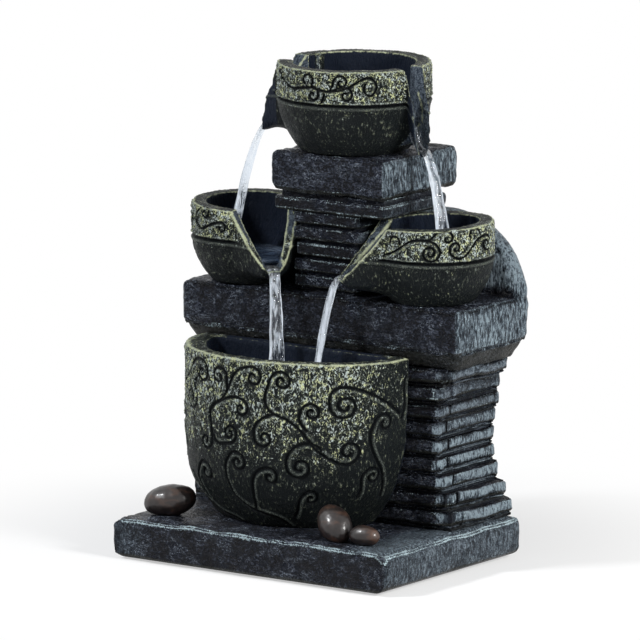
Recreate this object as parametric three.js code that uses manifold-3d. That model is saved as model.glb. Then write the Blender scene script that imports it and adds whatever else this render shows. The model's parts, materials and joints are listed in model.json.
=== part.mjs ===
// Tabletop water fountain in cast stone resin: a slab base, a coursed slate tower with a waist, a broad
// shoulder rock, a cap block, a large basin and three smaller bowls whose pulled lips pour into each other.
// A submersible pump stands in a well inside the tower, behind a plug-in access cover, and lifts the water
// through a riser tube to the top bowl. Millimetres, +Z up, front towards -Y, origin under the middle.
import * as THREE from "three";
import { mergeVertices } from "three/addons/utils/BufferGeometryUtils.js";
import Module from "manifold-3d";

const wasm = await Module();
wasm.setup();

// ---------------------------------------------------------------- driving dimensions
// The plan is laid out from the middle of the width and from the base's front face.
const glueGap = 0.3; // left between upright faces that are glued together
const slip = 0.4; // clearance round what slides or turns

const foot = { radius: 7, height: 3, recess: 1.5, inset: 17 };
const base = { width: 195, depth: 139, height: 23.5, corner: 3, bevel: 1.6, chip: 6 };

const tower = {
  front: 72.5, // its front face, behind the base's front face
  backStep: 0.5, // its back face, ahead of the base's back face
  courses: 9,
  course: 10.5, // height of one slate with its joint
  joint: 3.6, // height of the joint between two slates
  jointDepth: 3,
  shim: 0.9, // thickness of the thin slate in the middle of each joint
  shimDepth: 1.2,
  footHalf: 96, // half width at the bottom
  waistHalf: 81,
  topHalf: 92,
  waistAt: 0.54, // height of the waist, as a share of the tower
  flare: 1.6, // how late the sides turn outwards, away from the waist
  faceHalf: 82, // half width of the front face, whose corners are cut off where the sides flare
  corner: 3,
};
const crack = { behind: 13, width: 1.4, depth: 1.8 }; // upright split behind the tower's front corners
const well = { halfX: 58, frontWall: 8, backWall: 7, floor: 5.5, corner: 3 };
const port = { halfX: 13, height: 9, lift: 2.5 }; // joins the basin to the pump's well
const hatch = { halfX: 34, sill: 53, height: 35, corner: 4, lip: 4, rebate: 3, plug: 5, pull: 9 };
const gland = { x: 47.5, z: 71, hole: 5.5, bore: 3.3, flange: 7.5, flangeThick: 1.8 };

const shoulder = {
  half: 98.5, front: 70.5, back: 146, skirt: 9.5, skirtIn: 7, slab: 27, corner: 3.5, bevel: 1.8,
};
const boulder = { thick: 14, rise: 47, crownHalf: 42, bevel: 5 };
// The riser's line stands this far behind the middle of the well. The stack above is laid out from it.
const riserSetback = 2;
const neck = { fromBowls: 41, ahead: 29.5, courses: 5, joint: 2.2, jointDepth: 2.6, corner: 2 };
const ledge = { inset: 1.5, frontInset: 1, height: 11, joint: 3, backInset: 3 };
const cap = { aside: 3, half: 40.5, ahead: 32, behind: 44, height: 23.8, corner: 2.5, bevel: 1.8 };

const basin = {
  x: -12, ahead: 4, halfX: 71, halfY: 57, underSlab: 3.5, wall: 9.5, backWall: 6, floor: 8,
  bottomShare: 0.7, turnHeight: 58,
};
const midBowl = {
  radius: 36, overhang: 2, clearance: 0.5, height: 46.5, wall: 9, floor: 7, bottomShare: 0.66, turn: 0.62,
  band: 19.5, groove: 0.9, rake: 0.04,
};
const midSpout = {
  heading: 41, front: 33, back: 37, reach: 58, half: 6.5, channel: 3.8, round: 2.5,
  lipFloor: 14, lipRise: 3, droop: 1.5, fall: 1.35, under: [0.25, 0.72],
};
const topBowl = {
  radius: 45.5, height: 51.5, wall: 9.5, floor: 8, bottomShare: 0.7, turn: 0.66, band: 23.5,
  groove: 0.9, rake: 0.01,
};
const topSpout = {
  front: 15, back: 15, half: 6.5, channel: 4.2, round: 2.5, lipRise: 3, fall: 1.2, under: [0.45, 0.95],
};
const topSpouts = {
  right: { ...topSpout, forward: 11, reach: 61, lipFloor: 9, droop: 6.5 },
  left: { ...topSpout, forward: 11, reach: 63.5, lipFloor: 15, droop: 8 },
};

const riser = { x: 0, outer: 6, inner: 4.3, hole: 6.6, engage: 12 };
const nozzle = { flange: 8, flangeThick: 2, cone: 3.5, bore: 2.4, tip: 3.6 };
const pump = {
  length: 32, width: 30, height: 32, corner: 4, volute: 12, cover: 10, coverWall: 1.8, spigot: 1.6, seam: 0.1,
  chamber: 11.5, chamberDepth: 8, rotorBore: 6.5, rotorDepth: 22, nipple: 4, nippleHeight: 12,
  cup: 4.5, cupHeight: 5, cupInset: 7, eye: 4,
};
const rotor = { magnet: 5.8, magnetLength: 18, hub: 3, blade: 10.4, bladeHeight: 5, blades: 5, shaft: 1 };
const slider = { width: 9, height: 5, travel: 7, flange: 1.2, flangeThick: 1, knob: 1.6, slip: 0.2 };

// Loose stones, each placed in from a side edge (left for -1) and from the front edge of the base.
const pebbles = [
  {
    name: "pebble_left", side: -1, in: 25, back: 24, turn: 0.35, tilt: -0.2,
    length: 32, width: 22, height: 19,
  },
  {
    name: "pebble_front", side: 1, in: 49, back: 20, turn: -0.5, tilt: 0.45,
    length: 29, width: 19, height: 20,
  },
  {
    name: "pebble_small", side: 1, in: 26, back: 17, turn: 0.1, tilt: 0,
    length: 19, width: 12, height: 12.5,
  },
];
const pebbleSunk = 0.06; // share of a stone's height that is ground flat to glue it down

// ---------------------------------------------------------------- levels and places worked out from them
const baseBottom = foot.height - foot.recess;
const baseTop = baseBottom + base.height;
const towerTop = baseTop + tower.courses * tower.course;
const basinHeight = towerTop + shoulder.skirt - basin.underSlab - baseTop;
const shoulderTop = towerTop + shoulder.skirt + shoulder.slab;
const neckTop = shoulderTop + boulder.rise;
const ledgeTop = neckTop + ledge.height;
const capTop = ledgeTop + cap.height;
const towerBack = base.depth - tower.backStep;
const wellFront = tower.front + well.frontWall;
const wellBack = towerBack - well.backWall;
const wellFloor = baseTop + well.floor;
const sill = baseTop + hatch.sill;
const pumpBottom = wellFloor + pump.cupHeight;
const riserY = (wellFront + wellBack) / 2 + riserSetback;
const boulderFront = shoulder.back - boulder.thick;
const midBowlX = shoulder.half + midBowl.overhang - midBowl.radius;
const neckHalf = midBowlX - neck.fromBowls;
const midBowlY = boulderFront - midBowl.clearance - midBowl.radius;
const neckFront = riserY - neck.ahead;
const capX = riser.x + cap.aside;
const capFront = riserY - cap.ahead;
const capBack = riserY + cap.behind;
const basinY = tower.front - basin.ahead;
const backmost = Math.max(base.depth, shoulder.back, capBack, riserY + topBowl.radius);
const past = base.width + base.depth; // more than the fountain is wide or deep, for cuts that run past it

// ---------------------------------------------------------------- materials
const paint = (color, roughness, metalness = 0) =>
  new THREE.MeshStandardMaterial({ color, roughness, metalness });
const slate = paint(0x2a2e38, 0.6);
const bowlResin = paint(0x4a4c34, 0.5);
const pebbleStone = paint(0x54423a, 0.25);
const blackPlastic = paint(0x17181a, 0.45);
const greyRubber = paint(0x2b2b2d, 0.85);
const clearTube = paint(0xb9c4c8, 0.2);
const ceramic = paint(0xe6e2d8, 0.3);
const ferrite = paint(0x3a3a3d, 0.6, 0.4);

// ---------------------------------------------------------------- helpers
// A geometry as a manifold-3d solid.
function solid(geometry) {
  const bare = geometry.clone();
  bare.deleteAttribute("normal");
  bare.deleteAttribute("uv");
  const merged = mergeVertices(bare, 1e-4);
  return new wasm.Manifold(
    new wasm.Mesh({
      numProp: 3,
      vertProperties: merged.attributes.position.array,
      triVerts: new Uint32Array(merged.index.array),
    }),
  );
}

// A manifold-3d solid as a named mesh.
function piece(name, shape, material) {
  const made = shape.getMesh();
  const geometry = new THREE.BufferGeometry();
  geometry.setAttribute("position", new THREE.BufferAttribute(made.vertProperties, 3));
  geometry.setIndex(new THREE.BufferAttribute(made.triVerts, 1));
  const mesh = new THREE.Mesh(geometry, material);
  mesh.name = name;
  return mesh;
}

const union = (shapes) => shapes.reduce((whole, next) => whole.add(next));

function roundedRect(x0, x1, y0, y1, corner) {
  const shape = new THREE.Shape();
  shape.moveTo(x0 + corner, y0);
  shape.absarc(x1 - corner, y0 + corner, corner, -Math.PI / 2, 0);
  shape.absarc(x1 - corner, y1 - corner, corner, 0, Math.PI / 2);
  shape.absarc(x0 + corner, y1 - corner, corner, Math.PI / 2, Math.PI);
  shape.absarc(x0 + corner, y0 + corner, corner, Math.PI, 1.5 * Math.PI);
  return shape;
}

// A shape extruded upwards between two levels, with its edges bevelled inside the outline.
function extruded(shape, z0, z1, bevel = 0, skirt = bevel, curveSegments = 3, bevelSegments = 1) {
  const geometry = new THREE.ExtrudeGeometry(shape, {
    depth: z1 - z0 - 2 * skirt,
    bevelEnabled: bevel > 0,
    bevelThickness: skirt,
    bevelSize: bevel,
    bevelOffset: -bevel,
    bevelSegments,
    curveSegments,
  });
  return geometry.translate(0, 0, z0 + skirt);
}

const block = (x0, x1, y0, y1, z0, z1, corner, bevel = 0) =>
  solid(extruded(roundedRect(x0, x1, y0, y1, corner), z0, z1, bevel));

function box(x0, x1, y0, y1, z0, z1) {
  const geometry = new THREE.BoxGeometry(x1 - x0, y1 - y0, z1 - z0);
  return solid(geometry.translate((x0 + x1) / 2, (y0 + y1) / 2, (z0 + z1) / 2));
}

// An upright cylinder between two levels.
function rod(x, y, z0, z1, radius, sides = 24, topRadius = radius) {
  const geometry = new THREE.CylinderGeometry(topRadius, radius, z1 - z0, sides);
  return solid(geometry.rotateX(Math.PI / 2).translate(x, y, (z0 + z1) / 2));
}

// A profile of [radius, height] pairs turned about the upright axis, which is then laid along +X or +Y.
function turned(profile, sides = 24) {
  const points = profile.map(([radius, height]) => new THREE.Vector2(radius, height));
  return new THREE.LatheGeometry(points, sides);
}
const alongX = (geometry) => geometry.rotateZ(-Math.PI / 2);
const alongZ = (geometry) => geometry.rotateX(Math.PI / 2);

// A repeatable unevenness between -1 and 1, so that no two slates are cut alike.
const uneven = (index, seed) => Math.sin(index * 2.4 + seed * 1.7) * Math.cos(index * 1.1 + seed);

const rad = THREE.MathUtils.degToRad;
const smooth = (from, to, value) => THREE.MathUtils.smoothstep(value, from, to);

// ---------------------------------------------------------------- stone: base, tower, shoulder, neck, cap
const footPlaces = [
  ["front_left", -1, foot.inset],
  ["front_right", 1, foot.inset],
  ["back_left", -1, base.depth - foot.inset],
  ["back_right", 1, base.depth - foot.inset],
].map(([name, side, y]) => ({ name, x: side * (base.width / 2 - foot.inset), y }));

// The flat rock under everything. Its front right corner is chipped, and each foot sits in a recess.
function baseSlab() {
  const half = base.width / 2;
  let shape = block(-half, half, 0, base.depth, baseBottom, baseTop, base.corner, base.bevel);
  for (const { x, y } of footPlaces) {
    shape = shape.subtract(rod(x, y, 0, foot.height, foot.radius + slip));
  }
  const { chip } = base;
  const wedge = new THREE.BoxGeometry(3 * chip, chip, 3 * chip).translate(0, -chip / 2, 0);
  wedge.rotateX(-Math.PI / 5).rotateZ(Math.PI / 4).translate(half - chip / 2, chip / 2, baseTop - chip / 4);
  return shape.subtract(solid(wedge));
}

const slateBevel = 0.8;

// A slate's outline, with straight cuts across its front and back corners.
function slateOutline(x0, x1, y0, y1, frontCut, backCut) {
  return new THREE.Shape(
    [
      [x0 + frontCut, y0], [x1 - frontCut, y0], [x1, y0 + frontCut], [x1, y1 - backCut],
      [x1 - backCut, y1], [x0 + backCut, y1], [x0, y1 - backCut], [x0, y0 + frontCut],
    ].map(([x, y]) => new THREE.Vector2(x, y)),
  );
}

// One slate on the recessed bed under it, with a thin slate showing in the joint between them.
function slateCourse(x0, x1, y0, y1, z, course, stack, frontCut = stack.corner) {
  const { joint, jointDepth, shim, shimDepth, corner } = stack;
  const layer = (inset, z0, z1, bevel = 0) =>
    solid(
      extruded(
        slateOutline(x0 + inset, x1 - inset, y0 + inset, y1 - inset, frontCut, corner), z0, z1, bevel,
      ),
    );
  const slateBody = layer(jointDepth, z, z + course).add(layer(0, z + joint, z + course, slateBevel));
  if (!shim) return slateBody;
  return slateBody.add(layer(shimDepth, z + (joint - shim) / 2, z + (joint + shim) / 2));
}

// Half the tower's width at a share of its height: widest at its foot and top, narrowest at the waist.
function towerHalf(share) {
  const { waistAt, waistHalf, footHalf, topHalf, flare } = tower;
  const below = share < waistAt;
  const away = below ? (waistAt - share) / waistAt : (share - waistAt) / (1 - waistAt);
  return waistHalf + ((below ? footHalf : topHalf) - waistHalf) * away ** flare;
}

function towerStone() {
  const slates = [];
  for (let i = 0; i < tower.courses; i++) {
    const half = towerHalf((i + 0.5) / tower.courses);
    slates.push(
      slateCourse(
        -half - 1.4 * uneven(i, 1), half + 1.4 * uneven(i, 2),
        tower.front + 0.6 + 0.6 * uneven(i, 3), towerBack,
        baseTop + i * tower.course, tower.course, tower, Math.max(tower.corner, half - tower.faceHalf),
      ),
    );
  }
  return union(slates);
}

// Upright cracks that split the side slates into two stones, a little behind the front corner.
function sideCracks() {
  const cuts = [];
  for (let i = 1; i < tower.courses - 1; i++) {
    const y = tower.front + crack.behind + 1.8 * uneven(i, 5);
    const z = baseTop + i * tower.course;
    for (const side of [-1, 1]) {
      const outer = side * (tower.footHalf + crack.depth);
      const inner = side * (towerHalf((i + 0.5) / tower.courses) - crack.depth);
      cuts.push(
        box(
          Math.min(outer, inner), Math.max(outer, inner), y, y + crack.width,
          z + tower.joint, z + tower.course,
        ),
      );
    }
  }
  return union(cuts);
}

function lowerTower() {
  const hatchShape = (grow) =>
    roundedRect(
      -hatch.halfX - grow, hatch.halfX + grow, sill - grow, sill + hatch.height + grow, hatch.corner + grow,
    );
  const through = (shape, y0, y1) =>
    solid(extruded(shape, 0, y1 - y0).rotateX(Math.PI / 2).translate(0, y1, 0));
  const wellSpace = block(-well.halfX, well.halfX, wellFront, wellBack, wellFloor, towerTop + 1, well.corner);
  return towerStone()
    .subtract(sideCracks())
    .subtract(wellSpace)
    .subtract(through(hatchShape(0), wellBack - 1, towerBack + 1))
    .subtract(through(hatchShape(hatch.lip + slip), towerBack - hatch.rebate, towerBack + 1))
    .subtract(alongYRod(gland.x, wellBack - 1, towerBack + 1, baseTop + gland.z, gland.hole))
    .subtract(portSpace());
}

// A cylinder laid along +Y.
function alongYRod(x, y0, y1, z, radius, sides = 24) {
  return solid(new THREE.CylinderGeometry(radius, radius, y1 - y0, sides).translate(x, (y0 + y1) / 2, z));
}

// The way for the water from the basin, through both walls, into the well.
const portSpace = () =>
  box(
    -port.halfX, port.halfX,
    tower.front - basin.backWall - 2, wellFront + 2,
    baseTop + basin.floor + port.lift, baseTop + basin.floor + port.lift + port.height,
  );

// The broad rock on the tower: a slab whose skirt slopes in to the tower, and a boulder along its back.
function shoulderRock() {
  const { half, front, back, corner } = shoulder;
  const slabBottom = towerTop + shoulder.skirt;
  const slab = block(-half, half, front, back, slabBottom, shoulderTop, corner, shoulder.bevel);
  const skirt = solid(
    extruded(
      roundedRect(-half, half, front, back, corner + shoulder.skirtIn),
      towerTop, slabBottom + shoulder.skirt + 1, shoulder.skirtIn, shoulder.skirt,
    ),
  );
  const side = half - boulder.crownHalf;
  const arch = new THREE.Shape();
  arch.moveTo(-half, slabBottom + shoulder.skirt);
  arch.lineTo(half, slabBottom + shoulder.skirt);
  arch.lineTo(half, shoulderTop);
  arch.absellipse(boulder.crownHalf, shoulderTop, side, boulder.rise, 0, Math.PI / 2);
  arch.absellipse(-boulder.crownHalf, shoulderTop, side, boulder.rise, Math.PI / 2, Math.PI);
  const { thick, bevel } = boulder;
  const hump = solid(
    extruded(arch, 0, thick, bevel, bevel, 9, 3).rotateX(Math.PI / 2).translate(0, boulderFront + thick, 0),
  );
  return slab.add(skirt).add(hump).subtract(riserHole(shoulderTop));
}

// The hole that the riser passes through, from below up to just over a level.
const riserHole = (top) => rod(riser.x, riserY, 0, top + 1, riser.hole, 20);

// The narrow slate stack between the shoulder and the cap. A broad ledge slate tops it, on a recessed bed.
function upperTower() {
  const course = boulder.rise / neck.courses;
  const slates = [];
  for (let i = 0; i < neck.courses; i++) {
    slates.push(
      slateCourse(
        riser.x - neckHalf - 1.2 * uneven(i, 4), riser.x + neckHalf + 1.2 * uneven(i, 6),
        neckFront + 0.8 * uneven(i, 7), boulderFront - glueGap,
        shoulderTop + i * course, course, neck,
      ),
    );
  }
  const half = cap.half - ledge.inset;
  const back = shoulder.back - ledge.backInset;
  const front = capFront + ledge.frontInset;
  const top = block(capX - half, capX + half, front, back, neckTop, ledgeTop - ledge.joint, cap.corner, 1.2);
  const bed = block(
    capX - half + ledge.joint, capX + half - ledge.joint, front + ledge.joint, back - ledge.joint,
    neckTop + 1, ledgeTop, cap.corner,
  );
  return union([...slates, top, bed]).subtract(riserHole(ledgeTop));
}

const capBlock = () =>
  block(capX - cap.half, capX + cap.half, capFront, capBack, ledgeTop, capTop, cap.corner, cap.bevel)
    .subtract(riserHole(capTop));

// ---------------------------------------------------------------- bowls
// How wide a bowl's body is at a height, as a share of its rim: it rounds out from its foot.
function swell(height, turnHeight, bottomShare) {
  const left = Math.max(0, 1 - height / turnHeight);
  return 1 - (1 - bottomShare) * left ** 2.2;
}

// Where a ray at an angle meets the line from p to q, and how far along the line that is.
function meet(angle, p, q) {
  const [c, s] = [Math.cos(angle), Math.sin(angle)];
  const [dx, dy] = [q[0] - p[0], q[1] - p[1]];
  const along = (s * p[0] - c * p[1]) / (c * dy - s * dx);
  const share = THREE.MathUtils.clamp(along, 0, 1);
  return { radius: Math.hypot(p[0] + share * dx, p[1] + share * dy), share };
}

// The wall of a spouted bowl at one angle: how far out it stands and how high it rises, outside and inside.
// Away from the spouts it is round, and its rim sinks a little towards the spouts. At a spout its edges fall
// from the rim to the lip while they draw together.
function wallAt(angle, bowl) {
  const outer = bowl.radius;
  const inner = bowl.radius - bowl.wall;
  const rimAt = (radius) => bowl.height - bowl.rake * radius * Math.cos(angle - bowl.leans);
  const plain = { outer, inner, body: outer, hollow: inner, outerTop: rimAt(outer), innerTop: rimAt(inner) };
  for (const spout of bowl.spouts) {
    const turn = Math.PI * 2;
    const off = ((((angle - spout.heading + Math.PI) % turn) + turn) % turn) - Math.PI;
    const limit = off < 0 ? spout.clockwise : spout.counter;
    if (Math.abs(off) >= limit - 1e-9) continue;
    const bend = Math.abs(off);
    const from = (radius) => [radius * Math.cos(limit), radius * Math.sin(limit)];
    const corner = spout.reach - spout.round;
    const wall = meet(bend, from(outer), [corner, spout.half]);
    const face = meet(bend, from(inner), [corner, spout.channel]);
    const lipAngle = Math.atan2(spout.half, corner);
    const channelAngle = Math.atan2(spout.channel, corner);
    const tip = spout.reach - spout.round * (bend / lipAngle) ** 2;
    const inLip = bend < lipAngle + 1e-6;
    const inChannel = bend < channelAngle + 1e-6;
    const lip = spout.lipFloor + spout.lipRise;
    const fallen = (share, radius) => lip + (rimAt(radius) - lip) * (1 - share) ** spout.fall;
    return {
      outer: inLip ? tip : wall.radius,
      inner: inChannel ? tip - 1 : face.radius,
      body: outer,
      hollow: inner,
      outerTop: inChannel ? spout.lipFloor : fallen(inLip ? 1 : wall.share, outer),
      innerTop: inChannel ? spout.lipFloor : fallen(face.share, inner),
      spout,
    };
  }
  return plain;
}

// The angles at which a spouted bowl's wall is cut into facets: close together at each lip.
function headings(bowl, arcStep) {
  const angles = [];
  const spouts = [...bowl.spouts].sort((a, b) => a.heading - b.heading);
  spouts.forEach((spout, k) => {
    const corner = spout.reach - spout.round;
    const lip = Math.atan2(spout.half, corner);
    const channel = Math.atan2(spout.channel, corner);
    const side = (limit) => [0, 0.12, 0.27, 0.45, 0.7, 1].map((share) => lip + share * (limit - lip));
    angles.push(...side(spout.clockwise).reverse().map((a) => spout.heading - a));
    angles.push(spout.heading - channel, spout.heading, spout.heading + channel);
    angles.push(...side(spout.counter).map((a) => spout.heading + a));
    const next = spouts[(k + 1) % spouts.length];
    const start = spout.heading + spout.counter;
    let end = next.heading - next.clockwise;
    while (end < start) end += 2 * Math.PI;
    const steps = Math.round((end - start) / arcStep);
    for (let i = 1; i < steps; i++) angles.push(start + ((end - start) * i) / steps);
  });
  return angles;
}

// A cast bowl with a band under its rim and one or more pulled lips: a lathed wall whose columns are drawn
// out to the lips. Outside it runs foot, body, groove, rim; inside it runs rim, hollow, floor.
function spoutedBowl(bowl) {
  const grooveAt = 1 - bowl.band / bowl.height;
  const outside = [0, 0.07, 0.16, 0.28, 0.42, grooveAt - 0.03, grooveAt, grooveAt + 0.03, 0.97, 1];
  const inside = [1, 0.8, 0.55, 0.36, 0.22, 0.1, 0];
  const rows = 1 + outside.length + inside.length + 1;
  const angles = headings(bowl, rad(12));
  const geometry = new THREE.LatheGeometry(
    Array.from({ length: rows }, (_, j) => new THREE.Vector2(j, j)), angles.length,
  );
  const position = geometry.attributes.position;
  for (let i = 0; i <= angles.length; i++) {
    const angle = angles[i % angles.length];
    const wall = wallAt(angle, bowl);
    const { spout } = wall;
    const place = (j, radius, height) => {
      const out = spout ? Math.max(0, radius - wall.body) / (spout.reach - wall.body) : 0;
      const z = spout ? height - spout.droop * out ** 2 : height;
      position.setXYZ(i * rows + j, radius * Math.cos(angle), radius * Math.sin(angle), z);
    };
    place(0, 0, 0);
    outside.forEach((share, j) => {
      const z = share * wall.outerTop;
      const underLip = spout ? smooth(...spout.under, z / spout.lipFloor) : 0;
      const body = wall.body * swell(z, bowl.height * bowl.turn, bowl.bottomShare);
      const edge = share === 1 ? -0.8 : 0;
      const cut = share === grooveAt && !spout ? -bowl.groove : 0;
      place(1 + j, body + (wall.outer - wall.body) * underLip + edge + cut, z);
    });
    inside.forEach((share, j) => {
      const z = bowl.floor + share * (wall.innerTop - bowl.floor);
      const lift = bowl.height - bowl.floor;
      const hollow = wall.hollow * swell(z - bowl.floor + 1, lift * 0.7, 0.5);
      const channel = spout ? smooth(bowl.floor * 0.9, spout.lipFloor, Math.min(z, spout.lipFloor)) : 0;
      place(1 + outside.length + j, hollow + (wall.inner - wall.hollow) * channel, z);
    });
    place(rows - 1, 0, bowl.floor);
  }
  return solid(geometry);
}

// A spout at a heading, with the parts of the rim that it opens on its front and its back, in radians.
// The front is clockwise from the heading where turn is 1.
const spoutAt = (shape, heading, turn) => ({
  ...shape,
  heading: rad(heading),
  clockwise: rad(turn > 0 ? shape.front : shape.back),
  counter: rad(turn > 0 ? shape.back : shape.front),
});

// The middle bowls mirror each other, each with one lip turned in and forwards over the basin.
function middleBowl(side) {
  const heading = side < 0 ? -midSpout.heading : 180 + midSpout.heading;
  const spout = spoutAt(midSpout, heading, -side);
  const bowl = { ...midBowl, leans: spout.heading, spouts: [spout] };
  return spoutedBowl(bowl).translate([side * midBowlX, midBowlY, shoulderTop]);
}

// The top bowl pours to both sides, into the two middle bowls.
function upperBowl() {
  const { right, left } = topSpouts;
  const spouts = [spoutAt(right, -right.forward, 1), spoutAt(left, 180 + left.forward, -1)];
  const inlet = rod(0, 0, -1, topBowl.floor + 1, riser.inner);
  return spoutedBowl({ ...topBowl, leans: rad(-90), spouts })
    .subtract(inlet)
    .translate([riser.x, riserY, capTop]);
}

// The basin: a deep oval tub cut flat where it stands against the tower, with a port in its back wall.
function largeBasin() {
  const oval = (profile, halfX, halfY) =>
    solid(alongZ(turned(profile, 48)).scale(halfX, halfY, 1).translate(basin.x, basinY, baseTop));
  const outerRim = 1 - 1.2 / basin.halfX;
  const levels = [0, 0.05, 0.11, 0.18, 0.27, 0.38, 0.5, 0.98];
  const body = levels.map((share) => {
    const z = share * basinHeight;
    return [swell(z, basin.turnHeight, basin.bottomShare), z];
  });
  const outer = oval(
    [[0, 0], ...body, [outerRim, basinHeight], [0, basinHeight]], basin.halfX, basin.halfY,
  );
  const inside = [0, 0.06, 0.16, 0.3, 0.5, 1].map((share) => {
    const z = basin.floor + share * (basinHeight + 1 - basin.floor);
    return [swell(z - basin.floor, basin.turnHeight, basin.bottomShare * 0.9), z];
  });
  const top = basinHeight + 1;
  const hollow = oval(
    [[0, basin.floor], ...inside, [0, top]], basin.halfX - basin.wall, basin.halfY - basin.wall,
  );
  const back = tower.front - glueGap;
  const beyond = box(-past, past, back, past, -1, capTop);
  const backWall = box(-past, past, back - basin.backWall, past, -1, capTop);
  return outer.subtract(beyond).subtract(hollow.subtract(backWall)).subtract(portSpace());
}

// ---------------------------------------------------------------- access cover, gland, feet, pebbles
// A stone-faced plate in the rebate, whose plug fits the opening. Two finger scoops take the pull.
function accessCover() {
  const through = (shape, y0, y1, bevel) =>
    solid(extruded(shape, 0, y1 - y0, bevel).rotateX(Math.PI / 2).translate(0, y1, 0));
  const grown = (grow) =>
    roundedRect(
      -hatch.halfX - grow, hatch.halfX + grow, sill - grow, sill + hatch.height + grow,
      Math.max(1, hatch.corner + grow),
    );
  const face = towerBack - hatch.rebate;
  const plate = through(grown(hatch.lip), face, towerBack, 0.8);
  const plug = through(grown(-slip), face - hatch.plug, face + 1, 0);
  const hollow = through(grown(-slip - 3), face - hatch.plug - 1, face, 0);
  const scoop = (x) => alongYRod(x, towerBack - 1.6, towerBack + 1, sill + hatch.height / 2, hatch.pull, 20);
  return plate.add(plug.subtract(hollow)).subtract(scoop(-hatch.halfX)).subtract(scoop(hatch.halfX));
}

// A rubber ring pressed into the back wall, grooved to sit on it, for the lead of the pump.
function cordGland() {
  const half = well.backWall / 2;
  const { bore, flange, flangeThick, hole } = gland;
  const neckRadius = hole - slip;
  const profile = [
    [bore, -half - flangeThick], [flange, -half - flangeThick], [flange, -half - 0.1],
    [neckRadius, -half - 0.1], [neckRadius, half + 0.1], [flange, half + 0.1],
    [flange - 1, half + flangeThick], [bore, half + flangeThick],
    [bore, -half - flangeThick],
  ];
  return solid(turned(profile, 20).translate(gland.x, towerBack - half, baseTop + gland.z));
}

const footPad = ({ x, y }) => rod(x, y, 0, foot.height, foot.radius - 0.8, 24, foot.radius);

// A water-worn stone: a stretched ball, with a flat where it is glued down.
function pebble({ side, in: inwards, back, turn, tilt, length, width, height }) {
  const ball = new THREE.SphereGeometry(0.5, 16, 10).rotateX(Math.PI / 2).scale(length, width, height);
  const x = side * (base.width / 2 - inwards);
  const middle = baseTop + (0.5 - pebbleSunk) * height;
  const laid = solid(ball.rotateY(tilt).rotateZ(turn).translate(x, back, middle));
  return laid.subtract(box(-past, past, -past, past, -past, baseTop));
}

// ---------------------------------------------------------------- riser, nozzle
const pumpFaceX = riser.x - pump.volute / 2; // where the motor housing meets the volute
const coverX = pumpFaceX + pump.volute; // where the volute meets the intake cover
const pumpTop = pumpBottom + pump.height;
const axisZ = pumpBottom + pump.height / 2;

function riserTube() {
  const z0 = pumpTop + glueGap;
  const z1 = capTop - 2;
  return rod(riser.x, riserY, z0, z1, riser.outer, 20)
    .subtract(rod(riser.x, riserY, z0 - 1, z1 + 1, riser.inner, 20));
}

// A flanged nozzle in the top bowl's floor, whose tail goes down into the riser.
function outletNozzle() {
  const floor = capTop + topBowl.floor;
  const tail = riser.inner - glueGap;
  const { flange, flangeThick, cone, bore, tip } = nozzle;
  const top = flangeThick + cone;
  const profile = [
    [bore, capTop - 2 - riser.engage - floor], [tail, capTop - 2 - riser.engage - floor], [tail, 0],
    [flange, 0], [flange, flangeThick], [tip + 1, flangeThick], [tip, top], [bore, top],
    [bore, capTop - 2 - riser.engage - floor],
  ];
  return solid(alongZ(turned(profile, 20)).translate(riser.x, riserY, floor));
}

// ---------------------------------------------------------------- pump
const pumpY0 = riserY - pump.width / 2;
const pumpY1 = riserY + pump.width / 2;
const atAxis = (geometry, x) => geometry.translate(x, riserY, axisZ);

// A rounded box standing along X, between two stations.
function pumpBlock(x0, x1, inset = 0) {
  const half = pump.width / 2 - inset;
  const tall = pump.height / 2 - inset;
  const shape = roundedRect(-tall, tall, -half, half, Math.max(0.8, pump.corner - inset));
  const geometry = extruded(shape, 0, x1 - x0).rotateY(Math.PI / 2);
  return solid(geometry.translate(x0, riserY, axisZ));
}

// The potted motor housing, with the blind bore in which the magnet turns.
function pumpHousing() {
  const bore = turned(
    [[0, 0], [pump.rotorBore, 0], [pump.rotorBore, pump.rotorDepth + 1], [0, pump.rotorDepth + 1]],
  );
  const shaftSeat = turned([[0, 0], [rotor.shaft + 0.1, 0], [rotor.shaft + 0.1, 4], [0, 4]], 12);
  const ribs = [-1, 0, 1].map((k) =>
    box(
      pumpFaceX - pump.length + 3, pumpFaceX - 4,
      riserY + k * 8 - 1, riserY + k * 8 + 1, pumpTop - 1, pumpTop + 1.2,
    ),
  );
  return pumpBlock(pumpFaceX - pump.length, pumpFaceX)
    .add(union(ribs))
    .subtract(solid(atAxis(alongX(bore), pumpFaceX - pump.rotorDepth)))
    .subtract(solid(atAxis(alongX(shaftSeat), pumpFaceX - pump.rotorDepth - 3)));
}

// The lid over the impeller: a round chamber, the eye that draws water in, and the nipple for the riser.
function pumpVolute() {
  const x0 = pumpFaceX;
  const depth = pump.chamberDepth;
  const chamber = turned([[0, 0], [pump.chamber, 0], [pump.chamber, depth + 1], [0, depth + 1]], 28);
  const eyeDepth = pump.volute + pump.spigot;
  const eye = turned([[0, 0], [pump.eye, 0], [pump.eye, eyeDepth], [0, eyeDepth]], 16);
  const nipple = rod(riser.x, riserY, pumpTop - 1, pumpTop + pump.nippleHeight, pump.nipple, 20);
  const outlet = rod(riser.x, riserY, axisZ, pumpTop + pump.nippleHeight + 1, pump.nipple - 1.4, 16);
  return pumpBlock(x0, coverX)
    .add(pumpBlock(coverX - 1, coverX + pump.spigot, pump.coverWall + slip))
    .add(nipple)
    .subtract(solid(atAxis(alongX(chamber), x0 - 1)))
    .subtract(solid(atAxis(alongX(eye), x0 + depth - 0.5)))
    .subtract(outlet)
    .add(voluteSpider());
}

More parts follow.
